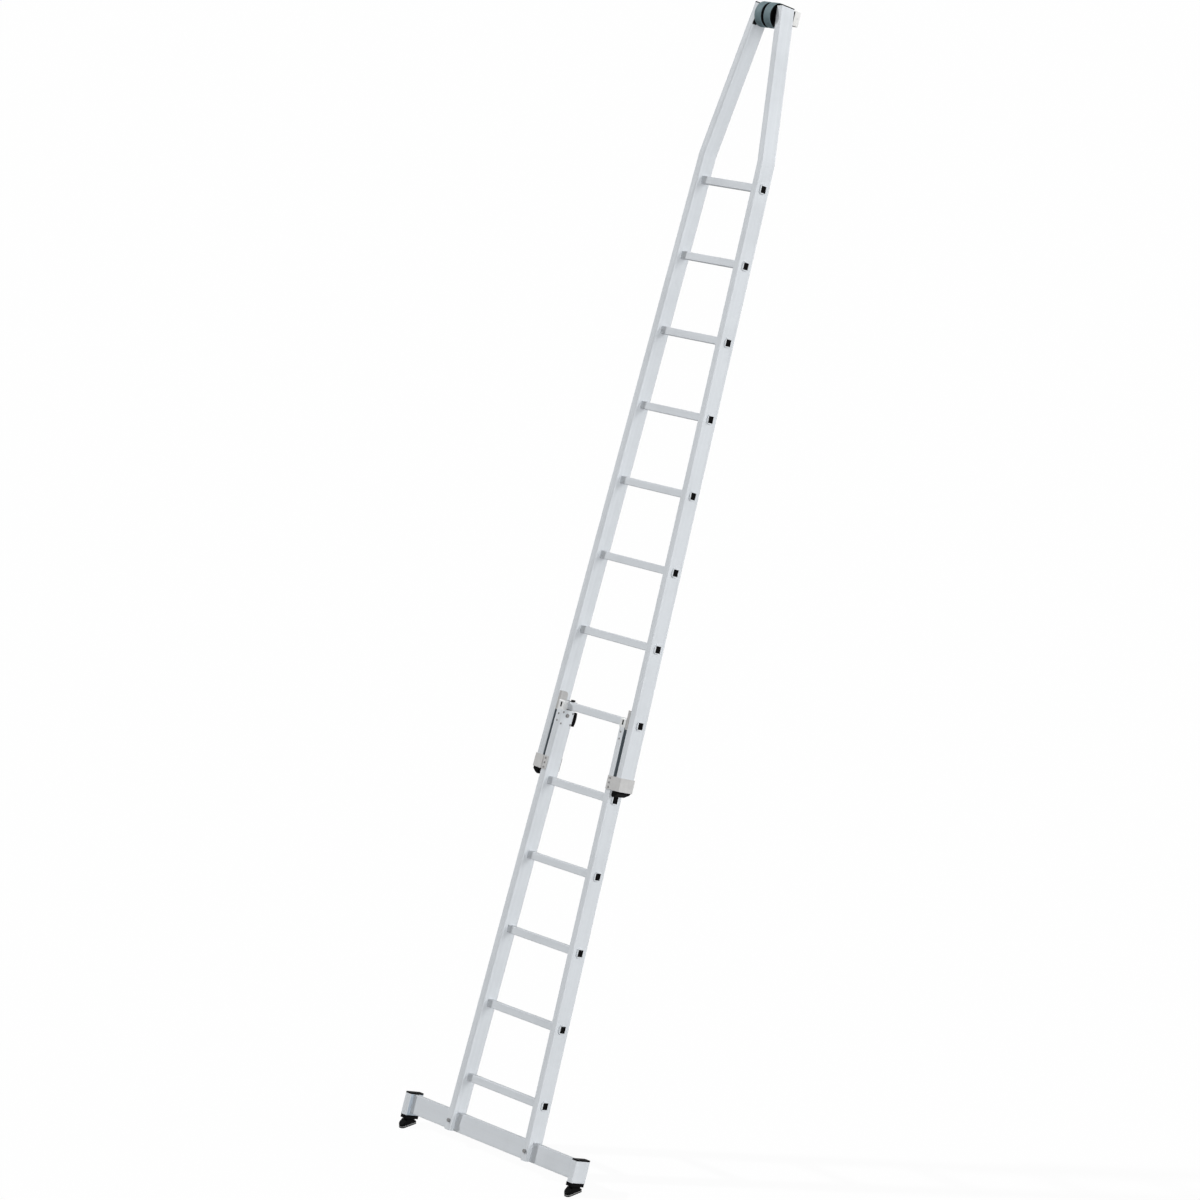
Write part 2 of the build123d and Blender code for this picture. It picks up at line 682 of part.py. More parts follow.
def upper_stile():
    """Upper stile with holes for its rungs and the wheel axle."""
    path = tip_path()
    start = Pos(0, 0, upper_along(UPPER_BOTTOM))
    outside = sweep(start * stile_section(), path=path)
    inside = sweep(start * stile_section(STILE_WALL), path=path)
    tube = UPPER_SIDE * (outside - inside)
    for z in upper_rung_heights():
        tube -= rung_hole(z)
    for solid in bracket_fixings():
        tube -= solid
    return tube - axle_rod(AXLE / 2 + RUNG_HOLE_CLEARANCE)


# Guide brackets
BRACKET_LOW = upper_along(UPPER_BOTTOM)
BRACKET_TOP = BRACKET_LOW + BRACKET_HEIGHT
BRACKET_REACH = -2 * STILE_THICK - GAP_ACROSS + BRACKET_SHORT
FLANGE_FROM = -STILE_THICK - GAP_ACROSS
GLIDE_SEAT = GLIDE_CLEARANCE + GLIDE_THICK


def bracket_half():
    """Front half of a guide bracket's outline, seen from above."""
    return outline(
        (BRACKET_OUTER_WALL, MID),
        (BRACKET_OUTER_WALL, -BRACKET_OUTER_FRONT),
        (FLANGE_FROM, -BRACKET_INNER_FRONT),
        (FLANGE_FROM, -BRACKET_FLANGE_FRONT),
        (BRACKET_REACH, -BRACKET_FLANGE_FRONT),
        (BRACKET_REACH, -GLIDE_SEAT),
        (-STILE_THICK, -GLIDE_SEAT),
        (-STILE_THICK, 0),
        (0, 0),
        (0, MID),
    )


def rear_of(shape):
    """Twin of a shape, mirrored about the middle of the stile's depth."""
    return mirror(shape, about=Plane(origin=(0, MID, 0), z_dir=(0, 1, 0)))


def guide_bracket():
    """Bracket that clasps the lower stile in front and behind, open to the inside."""
    front = upright(bracket_half(), BRACKET_LOW, BRACKET_TOP)
    body = UPPER_SIDE * (front + rear_of(front))
    for solid in bracket_rivets() + bracket_fixings():
        body -= solid
    return body


def glide_strips():
    """Two low-friction strips between a bracket and the lower stile."""
    face = outline(
        (BRACKET_REACH, -GLIDE_SEAT),
        (FLANGE_FROM, -GLIDE_SEAT),
        (FLANGE_FROM, -GLIDE_CLEARANCE),
        (BRACKET_REACH, -GLIDE_CLEARANCE),
    )
    front = UPPER_SIDE * upright(face, BRACKET_LOW, BRACKET_TOP)
    for solid in bracket_rivets():
        front -= solid
    return [front, rear_of(front)]


def bracket_heights(count):
    """Evenly spaced heights on a bracket."""
    middle = (BRACKET_LOW + BRACKET_TOP) / 2
    first = middle - (count - 1) * BRACKET_RIVET_PITCH / 2
    return [first + number * BRACKET_RIVET_PITCH for number in range(count)]


def bracket_rivets():
    """Rivets that hold the glide strips on a bracket, in front and behind."""
    x = (BRACKET_REACH + FLANGE_FROM) / 2
    length = BRACKET_FLANGE_FRONT - GLIDE_CLEARANCE - GLIDE_THICK / 2
    place = Pos(x, -BRACKET_FLANGE_FRONT, 0) * Rot(90, 0, 0)
    front = [
        UPPER_SIDE * Pos(0, 0, z) * place * rivet(length)
        for z in bracket_heights(BRACKET_RIVETS)
    ]
    return front + [rear_of(solid) for solid in front]


def bracket_fixings():
    """Rear rivets that hold a bracket on its stile."""
    slope = (BRACKET_INNER_FRONT - BRACKET_OUTER_FRONT) / (BRACKET_OUTER_WALL - FLANGE_FROM)
    rise = BRACKET_OUTER_FRONT + slope * (BRACKET_OUTER_WALL - STILE_MID)
    place = Pos(STILE_MID, STILE_DEPTH + rise, 0) * Rot(-90, 0, 0)
    return [
        UPPER_SIDE * Pos(0, 0, z) * place * rivet(rise + STILE_WALL)
        for z in bracket_heights(BRACKET_RIVETS - 1)
    ]


def stile_end_foot():
    """Foot below an upper stile, cut away on the outside, with a block inside the stile."""
    low = upper_along(UPPER_BOTTOM)
    belly = low - END_FOOT_FRONT - END_FOOT_TOE
    side = outline(
        (0, low),
        (0, low - END_FOOT_FRONT),
        (END_FOOT_TOE, belly),
        (END_FOOT_HEEL, low - END_FOOT_HEEL_HEIGHT),
        (STILE_DEPTH, low),
    )
    corner = outline(
        (0, belly - STILE_DEPTH),
        (0, belly + END_FOOT_CUT_HEIGHT),
        (-END_FOOT_CUT_WIDTH, belly),
        (-END_FOOT_CUT_WIDTH, belly - STILE_DEPTH),
    )
    shoe = across(side, -STILE_THICK, 0)
    shoe -= Pos(0, STILE_DEPTH, 0) * extrude(Plane.XZ * corner, amount=STILE_DEPTH)
    return UPPER_SIDE * (shoe + stile_insert(low, low + INSERT_LENGTH))


def stile_spacer():
    """Angled block between the two sections, in front of and above the lowest rung."""
    rung_front = MID - RUNG / 2 - SPACER_PLAY
    front = block(0, SPACER_WIDTH, SPACER_FRONT, rung_front, -SPACER_DROP, SPACER_RISE)
    above = block(0, SPACER_WIDTH, SPACER_FRONT, SPACER_FRONT + SPACER_DEPTH, 0, SPACER_RISE)
    corner = above.edges().filter_by(Axis.X).group_by(Axis.Z)[-1].sort_by(Axis.Y)[-1]
    solid = front + fillet(corner, SPACER_ROUND)
    room = rung_bar(RUNG + 2 * SPACER_PLAY, RUNG_ROUND, UPPER_HALF_WIDTH, JOIN_Z)
    return UPPER_SIDE * Pos(-STILE_THICK - SPACER_WIDTH, 0, 0) * solid - room


# Tip
TIP_TOP = BEND_Z + TIP_LENGTH * cos(radians(TIP_TAPER))
AXLE_Z = TIP_TOP - AXLE_DROP
TIP_HALF = upper_half(BEND_Z) - (AXLE_Z - BEND_Z) * tan(radians(TIP_TAPER))
TIP_INNER = TIP_HALF - STILE_THICK / cos(radians(TIP_TAPER))
CHEEK_X = TIP_INNER - CHEEK_DEPTH
WHEEL_FAR = CHEEK_X - CHEEK_GAP
WHEEL_WIDTH = WHEEL_FAR - WHEEL_GAP / 2
AXLE_END = TIP_INNER + AXLE_GRIP
CARRIER_HALF = TIP_HALF - CARRIER_INSET


def axle_rod(radius):
    return rod_x(radius, -AXLE_END, AXLE_END, AXLE_FRONT, AXLE_Z)


def bearing_cheek():
    """Round wedge from the inner face of a tip to an upright face beside the wheel."""
    disc = rod_x(CHEEK_RADIUS, CHEEK_X, TIP_HALF, AXLE_FRONT, AXLE_Z)
    top = TIP_LENGTH + TIP_CAP_THICK
    beside = block(-FAR, -STILE_THICK, -CHEEK_LIP, STILE_DEPTH, top - 2 * FAR, top)
    return disc & TIP_SIDE * beside


def cheek_toe():
    """Lower front corner of the cheek, wrapped around the edge of a tip."""
    low = TIP_LENGTH - TOE_DROP
    top = low + TOE_HEIGHT
    near = -STILE_THICK - CHEEK_DEPTH
    corner = block(near, TOE_WRAP - STILE_THICK, -CHEEK_LIP, TOE_DEPTH, low, top)
    return TIP_SIDE * (corner - upright(stile_section(), low, top))


def tip_cap():
    """Cap, insert and bearing cheek of one tip."""
    plate = upright(stile_section(), TIP_LENGTH, TIP_LENGTH + TIP_CAP_THICK)
    insert = stile_insert(TIP_LENGTH - TIP_INSERT, TIP_LENGTH)
    return TIP_SIDE * (plate + insert) + bearing_cheek() + cheek_toe() - axle_rod(AXLE / 2)


def wheel_hub():
    """Hub, web and rim of the right-hand wheel."""
    near = WHEEL_GAP / 2
    rim = WHEEL_RADIUS - TYRE_THICK
    middle = near + WHEEL_WIDTH / 2
    bore = AXLE / 2 + RUNNING_CLEARANCE
    side = outline(
        (near, bore),
        (near, HUB_RADIUS),
        (middle - WEB_THICK / 2, HUB_RADIUS),
        (middle - WEB_THICK / 2, rim - RIM_THICK),
        (near, rim - RIM_THICK),
        (near, rim),
        (WHEEL_FAR, rim),
        (WHEEL_FAR, rim - RIM_THICK),
        (WHEEL_FAR - HUB_RECESS, rim - RIM_THICK - HUB_RECESS),
        (WHEEL_FAR - HUB_RECESS, HUB_RADIUS),
        (WHEEL_FAR, HUB_RADIUS),
        (WHEEL_FAR, bore),
    )
    return Pos(0, AXLE_FRONT, AXLE_Z) * revolve(side, Axis.X)


def wheel_tyre():
    """Tread ring of the right-hand wheel."""
    rim = WHEEL_RADIUS - TYRE_THICK
    middle = (rim + WHEEL_RADIUS) / 2
    face = Pos((WHEEL_GAP + WHEEL_WIDTH) / 2, middle) * Rectangle(WHEEL_WIDTH, TYRE_THICK)
    face = fillet(face.vertices().group_by(Axis.Y)[-1], TYRE_SHOULDER)
    return Pos(0, AXLE_FRONT, AXLE_Z) * revolve(face, Axis.X)


def axle_spacer():
    half = WHEEL_GAP / 2 - SPACER_CLEARANCE
    ring = Circle(AXLE / 2 + SPACER_WALL) - Circle(AXLE / 2)
    return across(Pos(AXLE_FRONT, AXLE_Z) * ring, -half, half)


CARRIER_TOP = TIP_TOP - CARRIER_DROP / 2
CARRIER_REAR = STILE_DEPTH + CARRIER_THICK


def wall_pad_carrier():
    """Plate across the rear of both tips, hollowed beside the wheels."""
    low = CARRIER_TOP - CARRIER_HEIGHT
    plate = block(-CARRIER_HALF, CARRIER_HALF, STILE_DEPTH, CARRIER_REAR, low, CARRIER_TOP)
    relief = WHEEL_RADIUS + CARRIER_RELIEF
    half = (CHEEK_X + WHEEL_FAR) / 2
    return plate - rod_x(relief, -half, half, AXLE_FRONT, AXLE_Z)


def wall_pad():
    """Soft block that rests against the wall."""
    half = CARRIER_HALF + WALL_PAD_SIDE
    low = CARRIER_TOP - CARRIER_HEIGHT - WALL_PAD_OVERHANG
    top = CARRIER_TOP + WALL_PAD_OVERHANG
    pad = block(-half, half, CARRIER_REAR, CARRIER_REAR + WALL_PAD_THICK, low, top)
    pad = fillet(pad.edges().filter_by(Axis.X).group_by(Axis.Y)[-1], WALL_PAD_ROUND)
    for screw in pad_screws():
        pad -= screw
    return pad


def pad_screws():
    """Screws in the two ends of the wall pad."""
    face = CARRIER_HALF + WALL_PAD_SIDE
    y = CARRIER_REAR + WALL_PAD_THICK / 2
    z = CARRIER_TOP - CARRIER_HEIGHT / 2
    head = rod_x(PAD_SCREW_HEAD / 2, face, face + PAD_SCREW_HEAD_HEIGHT, y, z)
    screw = head + rod_x(PAD_SCREW / 2, face - PAD_SCREW_LENGTH, face, y, z)
    return [screw, left_of(screw)]


def save(name, shape):
    export_step(shape, f"parts/{name}.step")


def save_leaned(name, shape):
    """Write a piece that was drawn in the ladder's frame."""
    save(name, LEANING * shape)


def save_pair(name, shape):
    """Write a right-hand piece and its left-hand twin."""
    save_leaned(f"{name}_right", shape)
    save_leaned(f"{name}_left", left_of(shape))


def write_lower_section():
    save_pair("lower_stile", lower_stile())
    for number, z in enumerate(lower_rung_heights(), 1):
        save_leaned(f"lower_rung_{number}", rung(z, LOWER_SIDE, lower_along(z), lower_half(z)))
    plugs = [rung_plug(z, lower_half(z)) for z in lower_rung_heights()]
    save_leaned("lower_rung_plugs", both_sides(plugs))
    save_leaned("traverse", traverse())
    save_leaned("traverse_bolts", both_sides([traverse_bolt()]))
    save_leaned("traverse_nuts", both_sides([traverse_nut()]))
    save_pair("end_tube", end_tube())
    save_leaned("end_tube_caps", both_sides([end_cap()]))


def write_feet():
    save_pair("foot_socket", foot_socket())
    save_leaned("foot_pivot_pins", both_sides([foot_pin()]))
    for name, shape in (("foot", foot()), ("foot_pad", foot_pad())):
        save(f"{name}_right", shape)
        save(f"{name}_left", left_of(shape))


def write_forks():
    save_pair("top_fork", fork())
    save_pair("seat_liner", seat_liner())
    save_leaned("fork_rivets", both_sides(fork_rivets()))
    save_pair("latch", latch())
    save_leaned("latch_bolts", both_sides([latch_bolt()]))
    save_leaned("latch_nuts", both_sides([latch_nut()]))


def write_upper_section():
    save_pair("upper_stile", upper_stile())
    for number, z in enumerate(upper_rung_heights(), 1):
        save_leaned(f"upper_rung_{number}", rung(z, UPPER_SIDE, upper_along(z), upper_half(z)))
    plugs = [rung_plug(z, upper_half(z)) for z in upper_rung_heights()]
    save_leaned("upper_rung_plugs", both_sides(plugs))
    save_pair("guide_bracket", guide_bracket())
    save_leaned("glide_strips", both_sides(glide_strips()))
    save_leaned("bracket_rivets", both_sides(bracket_rivets() + bracket_fixings()))
    save_pair("stile_end_foot", stile_end_foot())
    save_pair("stile_spacer", stile_spacer())


def write_tip():
    save_pair("tip_cap", tip_cap())
    save_leaned("wheel_axle", axle_rod(AXLE / 2))
    save_leaned("axle_spacer", axle_spacer())
    save_pair("wheel_hub", wheel_hub())
    save_pair("wheel_tyre", wheel_tyre())
    save_leaned("wall_pad_carrier", wall_pad_carrier())
    save_leaned("wall_pad", wall_pad())
    save_leaned("pad_screws", group(pad_screws()))


write_lower_section()
write_feet()
write_forks()
write_upper_section()
write_tip()
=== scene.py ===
"""Dresses the solids of a two-section window cleaning ladder and sets its stage."""
import json
import math

import bmesh
import bpy
from bpy.props import FloatProperty, FloatVectorProperty, PointerProperty
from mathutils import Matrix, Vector


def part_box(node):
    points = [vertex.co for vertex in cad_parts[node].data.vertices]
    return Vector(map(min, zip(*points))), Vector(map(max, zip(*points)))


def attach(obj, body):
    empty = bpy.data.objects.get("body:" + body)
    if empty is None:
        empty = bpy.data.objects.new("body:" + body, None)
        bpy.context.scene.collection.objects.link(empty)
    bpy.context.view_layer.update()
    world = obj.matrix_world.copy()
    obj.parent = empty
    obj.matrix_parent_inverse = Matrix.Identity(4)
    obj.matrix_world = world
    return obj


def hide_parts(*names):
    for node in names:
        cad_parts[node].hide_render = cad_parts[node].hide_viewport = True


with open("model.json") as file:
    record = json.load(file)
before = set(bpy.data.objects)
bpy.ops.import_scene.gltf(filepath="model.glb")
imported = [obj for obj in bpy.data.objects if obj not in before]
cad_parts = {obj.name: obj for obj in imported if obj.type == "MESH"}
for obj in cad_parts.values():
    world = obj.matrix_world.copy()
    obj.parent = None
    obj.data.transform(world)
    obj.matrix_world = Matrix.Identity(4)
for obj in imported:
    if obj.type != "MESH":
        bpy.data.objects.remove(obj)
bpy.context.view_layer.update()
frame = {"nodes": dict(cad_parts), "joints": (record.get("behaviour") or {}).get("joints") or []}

bl_info = {
    "name": "Window cleaning ladder",
    "version": (1, 0, 0),
    "blender": (4, 5, 0),
    "location": "3D View > Sidebar > Ladder",
    "description": "Finishes and detail pieces for a two-section window cleaning ladder",
    "category": "Object",
}

SIDES = ("left", "right")
LOWER_RUNGS = [f"lower_rung_{number}" for number in range(1, 6)]
UPPER_RUNGS = [f"upper_rung_{number}" for number in range(1, 9)]

# The slide of the upper section runs along the ladder, so its axis gives the lean
ALONG = next(joint["axis"] for joint in frame["joints"] if joint["name"] == "section_lift")
LEAN = math.atan2(ALONG[1], ALONG[2])

# The stiles slope inwards, more so above the bend, whose place is measured along the ladder
TAPER = math.radians(1.5)
TIP_TAPER = math.radians(9.0)
BEND_HEIGHT = 3.73

# Drawn lines per metre across a profile, and along it
LINES_ACROSS = 700
LINES_ALONG = 2.0

# Painted shade on the profiles: how far it reaches below a face, how far it fades out there and at its ends,
# and how much paler its streaks are
MARK_DEPTH = 0.0004
MARK_FADE = 0.0006
MARK_END = 0.004
MARK_STREAK = 1.35

# The tread of a tyre: how far it reaches below the rim, and how far it fades out
TREAD_DEPTH = 0.0014
TREAD_FADE = 0.0010

# Depth of the drawn lines and of the grain of a skin, and how much rougher a skin is under its bloom
LINE_DEPTH = 0.0002
GRAIN_DEPTH = 0.0003
BLOOM_ROUGH = 0.12

# A face points along an axis if its normal's part along it is above FACING, ends nearer than TINY are
# at one place, and faces that meet at less than SMOOTH_ANGLE are shaded as one
FACING = 0.99
TINY = 1e-6
SMOOTH_ANGLE = math.radians(40)

# Width of the camera's sensor in millimetres, and how far it sees in metres
SENSOR_WIDTH = 36.0
VIEW_DEPTH = 500.0


def pair(name):
    """Names of the left and right node of a kind."""
    return [f"{name}_{side}" for side in SIDES]


class LadderMetal(bpy.types.PropertyGroup):
    """Tones and finish of the metal"""
    profile_light: FloatVectorProperty(
        name="Profile, light", description="Clean aluminium of the stiles and rungs",
        subtype="COLOR", size=3, min=0, max=1, default=(0.585, 0.612, 0.640))
    profile_dark: FloatVectorProperty(
        name="Profile, dark", description="Handled or oxidised streaks on the profiles",
        subtype="COLOR", size=3, min=0, max=1, default=(0.525, 0.550, 0.575))
    # Painted shade: a dark tone laid on the stile faces in the gap between the sections, where shade falls
    gap_shade: FloatVectorProperty(
        name="Rubbed", description="Dark oxide on the faces that slide on each other",
        subtype="COLOR", size=3, min=0, max=1, default=(0.075, 0.092, 0.105))
    # Painted shadow: the inner faces of the end tubes, where the foot bar shades them, get this darker tone
    tube_shadow: FloatVectorProperty(
        name="Grime", description="Darker inner faces of the end tubes",
        subtype="COLOR", size=3, min=0, max=1, default=(0.33, 0.375, 0.42))
    section_gap: FloatProperty(
        name="Section gap", description="Gap between the stiles of the two sections",
        unit="LENGTH", default=0.0113)
    profile_metallic: FloatProperty(
        name="Metallic", description="How metallic the dull profile surface looks",
        subtype="FACTOR", min=0, max=1, default=0.15)
    profile_rough: FloatProperty(
        name="Roughness", description="Roughness of the clean profiles",
        subtype="FACTOR", min=0, max=1, default=0.6)
    worn_rough: FloatProperty(
        name="Worn roughness", description="Roughness of the profiles where they are darkest",
        subtype="FACTOR", min=0, max=1, default=0.74)
    streaks: FloatProperty(
        name="Streaks", description="Share of the dark tone in the streaks on the profiles",
        subtype="FACTOR", min=0, max=1, default=0.4)
    smudges: FloatProperty(
        name="Smudges", description="Share of the dark tone in the smudges on the profiles",
        subtype="FACTOR", min=0, max=1, default=0.45)
    casting: FloatVectorProperty(
        name="Casting", description="Cast forks at the joint of the sections",
        subtype="COLOR", size=3, min=0, max=1, default=(0.60, 0.61, 0.61))
    bracket: FloatVectorProperty(
        name="Bracket", description="Warm grey guide brackets and spacers",
        subtype="COLOR", size=3, min=0, max=1, default=(0.505, 0.503, 0.50))
    # Partly the zinc's own grey and partly painted shade: darker than plating, standing in for the small
    # shadows round the rivets
    fixing_and_shade: FloatVectorProperty(
        name="Fixing", description="Zinc-plated bolts, nuts and rivets",
        subtype="COLOR", size=3, min=0, max=1, default=(0.24, 0.24, 0.24))


class LadderPlastic(bpy.types.PropertyGroup):
    """Tones of the plastic, rubber and foam"""
    black: FloatVectorProperty(
        name="Black plastic", description="Caps, feet, latches and plugs",
        subtype="COLOR", size=3, min=0, max=1, default=(0.0014, 0.0014, 0.0016))
    bloom: FloatVectorProperty(
        name="Bloom", description="Greyer patches on the black plastic",
        subtype="COLOR", size=3, min=0, max=1, default=(0.0032, 0.0032, 0.0034))
    rubber_and_highlight: FloatVectorProperty(
        name="Sole rubber", description="Rubber of the soles",
        subtype="COLOR", size=3, min=0, max=1, default=(0.009, 0.009, 0.009))
    tread: FloatVectorProperty(
        name="Tread", description="Slate grey tread of the tip wheels",
        subtype="COLOR", size=3, min=0, max=1, default=(0.15, 0.212, 0.232))
    # Painted highlight: a pale tone that stands in for the light that the edges of the soles catch
    band: FloatVectorProperty(
        name="Sole band", description="Pale band around the soles",
        subtype="COLOR", size=3, min=0, max=1, default=(0.45, 0.45, 0.45))
    foam: FloatVectorProperty(
        name="Foam", description="Off-white foam of the wall pad",
        subtype="COLOR", size=3, min=0, max=1, default=(0.74, 0.74, 0.73))


class LadderSizes(bpy.types.PropertyGroup):
    """Sizes of the new pieces"""
    pad_depth: FloatProperty(
        name="Pad depth", description="Thickness of the wall pad",
        unit="LENGTH", default=0.032)
    pad_height: FloatProperty(
        name="Pad height", description="Height of the wall pad along the ladder",
        unit="LENGTH", default=0.055)
    pad_round: FloatProperty(
        name="Pad rounding", description="Rounded edges of the wall pad",
        unit="LENGTH", default=0.004)
    pad_crown: FloatProperty(
        name="Pad crown", description="How far the pad swells between its edges",
        unit="LENGTH", default=0.0015)
    band_height: FloatProperty(
        name="Band height", description="Height of the pale band around each sole",
        unit="LENGTH", default=0.0015)
    band_foot: FloatProperty(
        name="Band foot", description="Height of the lower edge of the band above the floor",
        unit="LENGTH", default=0.00485)
    band_wall: FloatProperty(
        name="Band wall", description="Thickness of the band around each sole",
        unit="LENGTH", default=0.0014)
    band_round: FloatProperty(
        name="Band rounding", description="Rounded edges of the band around each sole",
        unit="LENGTH", default=0.0003)
    sole_front_round: FloatProperty(
        name="Front rounding", description="Rounded front corners of the soles",
        unit="LENGTH", default=0.012)
    sole_rear_round: FloatProperty(
        name="Rear rounding", description="Rounded rear corners of the soles",
        unit="LENGTH", default=0.008)
    plug_size: FloatProperty(
        name="Plug size", description="Width of the plugs in the rung ends",
        unit="LENGTH", default=0.0252)
    plug_length: FloatProperty(
        name="Plug length", description="Depth of the plugs in the rung ends",
        unit="LENGTH", default=0.012)
    plug_sink: FloatProperty(
        name="Plug sink", description="How far the plugs sit below the bead",
        unit="LENGTH", default=0.001)
    plug_rim: FloatProperty(
        name="Plug rim", description="Width of the rim around each plug",
        unit="LENGTH", default=0.0022)
    plug_step: FloatProperty(
        name="Plug step", description="Width of the slope inside the rim",
        unit="LENGTH", default=0.0008)
    plug_dish: FloatProperty(
        name="Plug dish", description="Depth of the dish inside the rim",
        unit="LENGTH", default=0.0014)
    plug_crown: FloatProperty(
        name="Plug crown", description="Width of the slope that rises towards the middle",
        unit="LENGTH", default=0.0045)
    plug_rise: FloatProperty(
        name="Plug rise", description="How far the middle rises above the dish",
        unit="LENGTH", default=0.0006)
    plug_round: FloatProperty(
        name="Plug rounding", description="Rounded edges of the plugs",
        unit="LENGTH", default=0.0004)


class LadderStage(bpy.types.PropertyGroup):
    """Camera, floor and light"""
    camera_place: FloatVectorProperty(
        name="Camera", description="Place of the camera",
        subtype="TRANSLATION", size=3, unit="LENGTH", default=(9.7324, -9.1740, 5.8185))
    camera_turn: FloatProperty(
        name="Turn", description="Turn of the camera about the vertical",
        unit="ROTATION", default=math.radians(45.0))
    camera_pitch: FloatProperty(
        name="Pitch", description="How far the camera looks down",
        unit="ROTATION", default=math.radians(15.586))
    lens: FloatProperty(
        name="Lens", description="Focal length on a 36 mm sensor",
        unit="CAMERA", default=120.08)
    floor_size: FloatProperty(
        name="Floor", description="Side of the square floor",
        unit="LENGTH", default=160.0)
    floor_tone: FloatVectorProperty(
        name="Floor tone", description="Floor as the ladder sees it",
        subtype="COLOR", size=3, min=0, max=1, default=(0.25, 0.25, 0.25))
    floor_white: FloatProperty(
        name="Floor white", description="Share of plain white in the floor as it is seen",
        subtype="FACTOR", min=0, max=1, default=0.95)
    ambient: FloatProperty(
        name="Ambient", description="Strength of the sky light on the ladder", default=0.2)
    key: FloatProperty(
        name="Key", description="Strength of the lamp at the front left", default=2.2)
    key_from: FloatVectorProperty(
        name="Key from", description="Direction of the lamp at the front left",
        subtype="DIRECTION", size=3, default=(-0.72, -0.37, 0.58))
    key_angle: FloatProperty(
        name="Key angle", description="Angle that the lamp at the front left fills",
        unit="ROTATION", default=math.radians(2))
    side: FloatProperty(
        name="Side", description="Strength of the shadowless lamp at the right", default=2.2)
    side_from: FloatVectorProperty(
        name="Side from", description="Direction of the shadowless lamp at the right",
        subtype="DIRECTION", size=3, default=(1.0, -0.3, 0.25))
    side_angle: FloatProperty(
        name="Side angle", description="Angle that the shadowless lamp at the right fills",
        unit="ROTATION", default=math.radians(60))
    rear: FloatProperty(
        name="Rear", description="Strength of the lamp at the rear right", default=1.4)
    rear_from: FloatVectorProperty(
        name="Rear from", description="Direction of the lamp at the rear right",
        subtype="DIRECTION", size=3, default=(1.0, 0.8, 0.25))
    rear_angle: FloatProperty(
        name="Rear angle", description="Angle that the lamp at the rear right fills",
        unit="ROTATION", default=math.radians(40))


def feed(tree, socket, value):
    """Link a socket to a value that is a socket, or set it."""
    if isinstance(value, bpy.types.NodeSocket):
        tree.links.new(value, socket)
    else:
        socket.default_value = value


def calc(tree, operation, *values):
    """Math node on sockets or numbers."""
    node = tree.nodes.new("ShaderNodeMath")
    node.operation = operation
    for socket, value in zip(node.inputs, values):
        feed(tree, socket, value)
    return node.outputs[0]


def noise(tree, vector, *, scale, detail, roughness=0.5):
    """Noise between 0 and 1."""
    node = tree.nodes.new("ShaderNodeTexNoise")
    feed(tree, node.inputs["Vector"], vector)
    feed(tree, node.inputs["Scale"], scale)
    node.inputs["Detail"].default_value = detail
    node.inputs["Roughness"].default_value = roughness
    return node.outputs["Fac"]


def spread(tree, value, low, high, to_low=0.0, to_high=1.0):
    """Part of a value's range, stretched to another range."""
    node = tree.nodes.new("ShaderNodeMapRange")
    for socket, number in zip(node.inputs, (value, low, high, to_low, to_high)):
        feed(tree, socket, number)
    return node.outputs["Result"]


def between(tree, factor, first, second):
    """Number that goes from one value to another as a factor goes from 0 to 1."""
    return spread(tree, factor, 0.0, 1.0, first, second)


def fade_out(tree, value, start, end):
    """1 up to the start, and less from there to 0 at the end."""
    return spread(tree, value, start, end, 1.0, 0.0)


def mix_colour(tree, factor, first, second):
    """Blend of two colours."""
    node = tree.nodes.new("ShaderNodeMix")
    node.data_type = "RGBA"
    feed(tree, node.inputs[0], factor)
    for socket, colour in ((node.inputs[6], first), (node.inputs[7], second)):
        feed(tree, socket, colour if isinstance(colour, bpy.types.NodeSocket) else (*colour, 1))
    return node.outputs[2]


def scaled(colour, factor):
    """A lighter or darker tone of a colour."""
    return [factor * part for part in colour]


def new_group(name, inputs, outputs):
    """Empty shader group with named sockets."""
    tree = bpy.data.node_groups.new(name, "ShaderNodeTree")
    for kind, label, default in inputs:
        socket = tree.interface.new_socket(label, in_out="INPUT", socket_type=kind)
        socket.default_value = default
    for label in outputs:
        tree.interface.new_socket(label, in_out="OUTPUT", socket_type="NodeSocketFloat")
    return tree, tree.nodes.new("NodeGroupInput").outputs, tree.nodes.new("NodeGroupOutput").inputs


def leaned_coordinates(tree):
    """Object coordinates turned upright with the ladder: across, front to rear, along."""
    mapping = tree.nodes.new("ShaderNodeMapping")
    tree.links.new(tree.nodes.new("ShaderNodeTexCoord").outputs["Object"], mapping.inputs["Vector"])
    mapping.inputs["Rotation"].default_value = (LEAN, 0, 0)
    return mapping.outputs["Vector"]


def leaned_parts(tree):
    """The same coordinates as three numbers."""
    split = tree.nodes.new("ShaderNodeSeparateXYZ")
    tree.links.new(leaned_coordinates(tree), split.inputs[0])
    return split.outputs


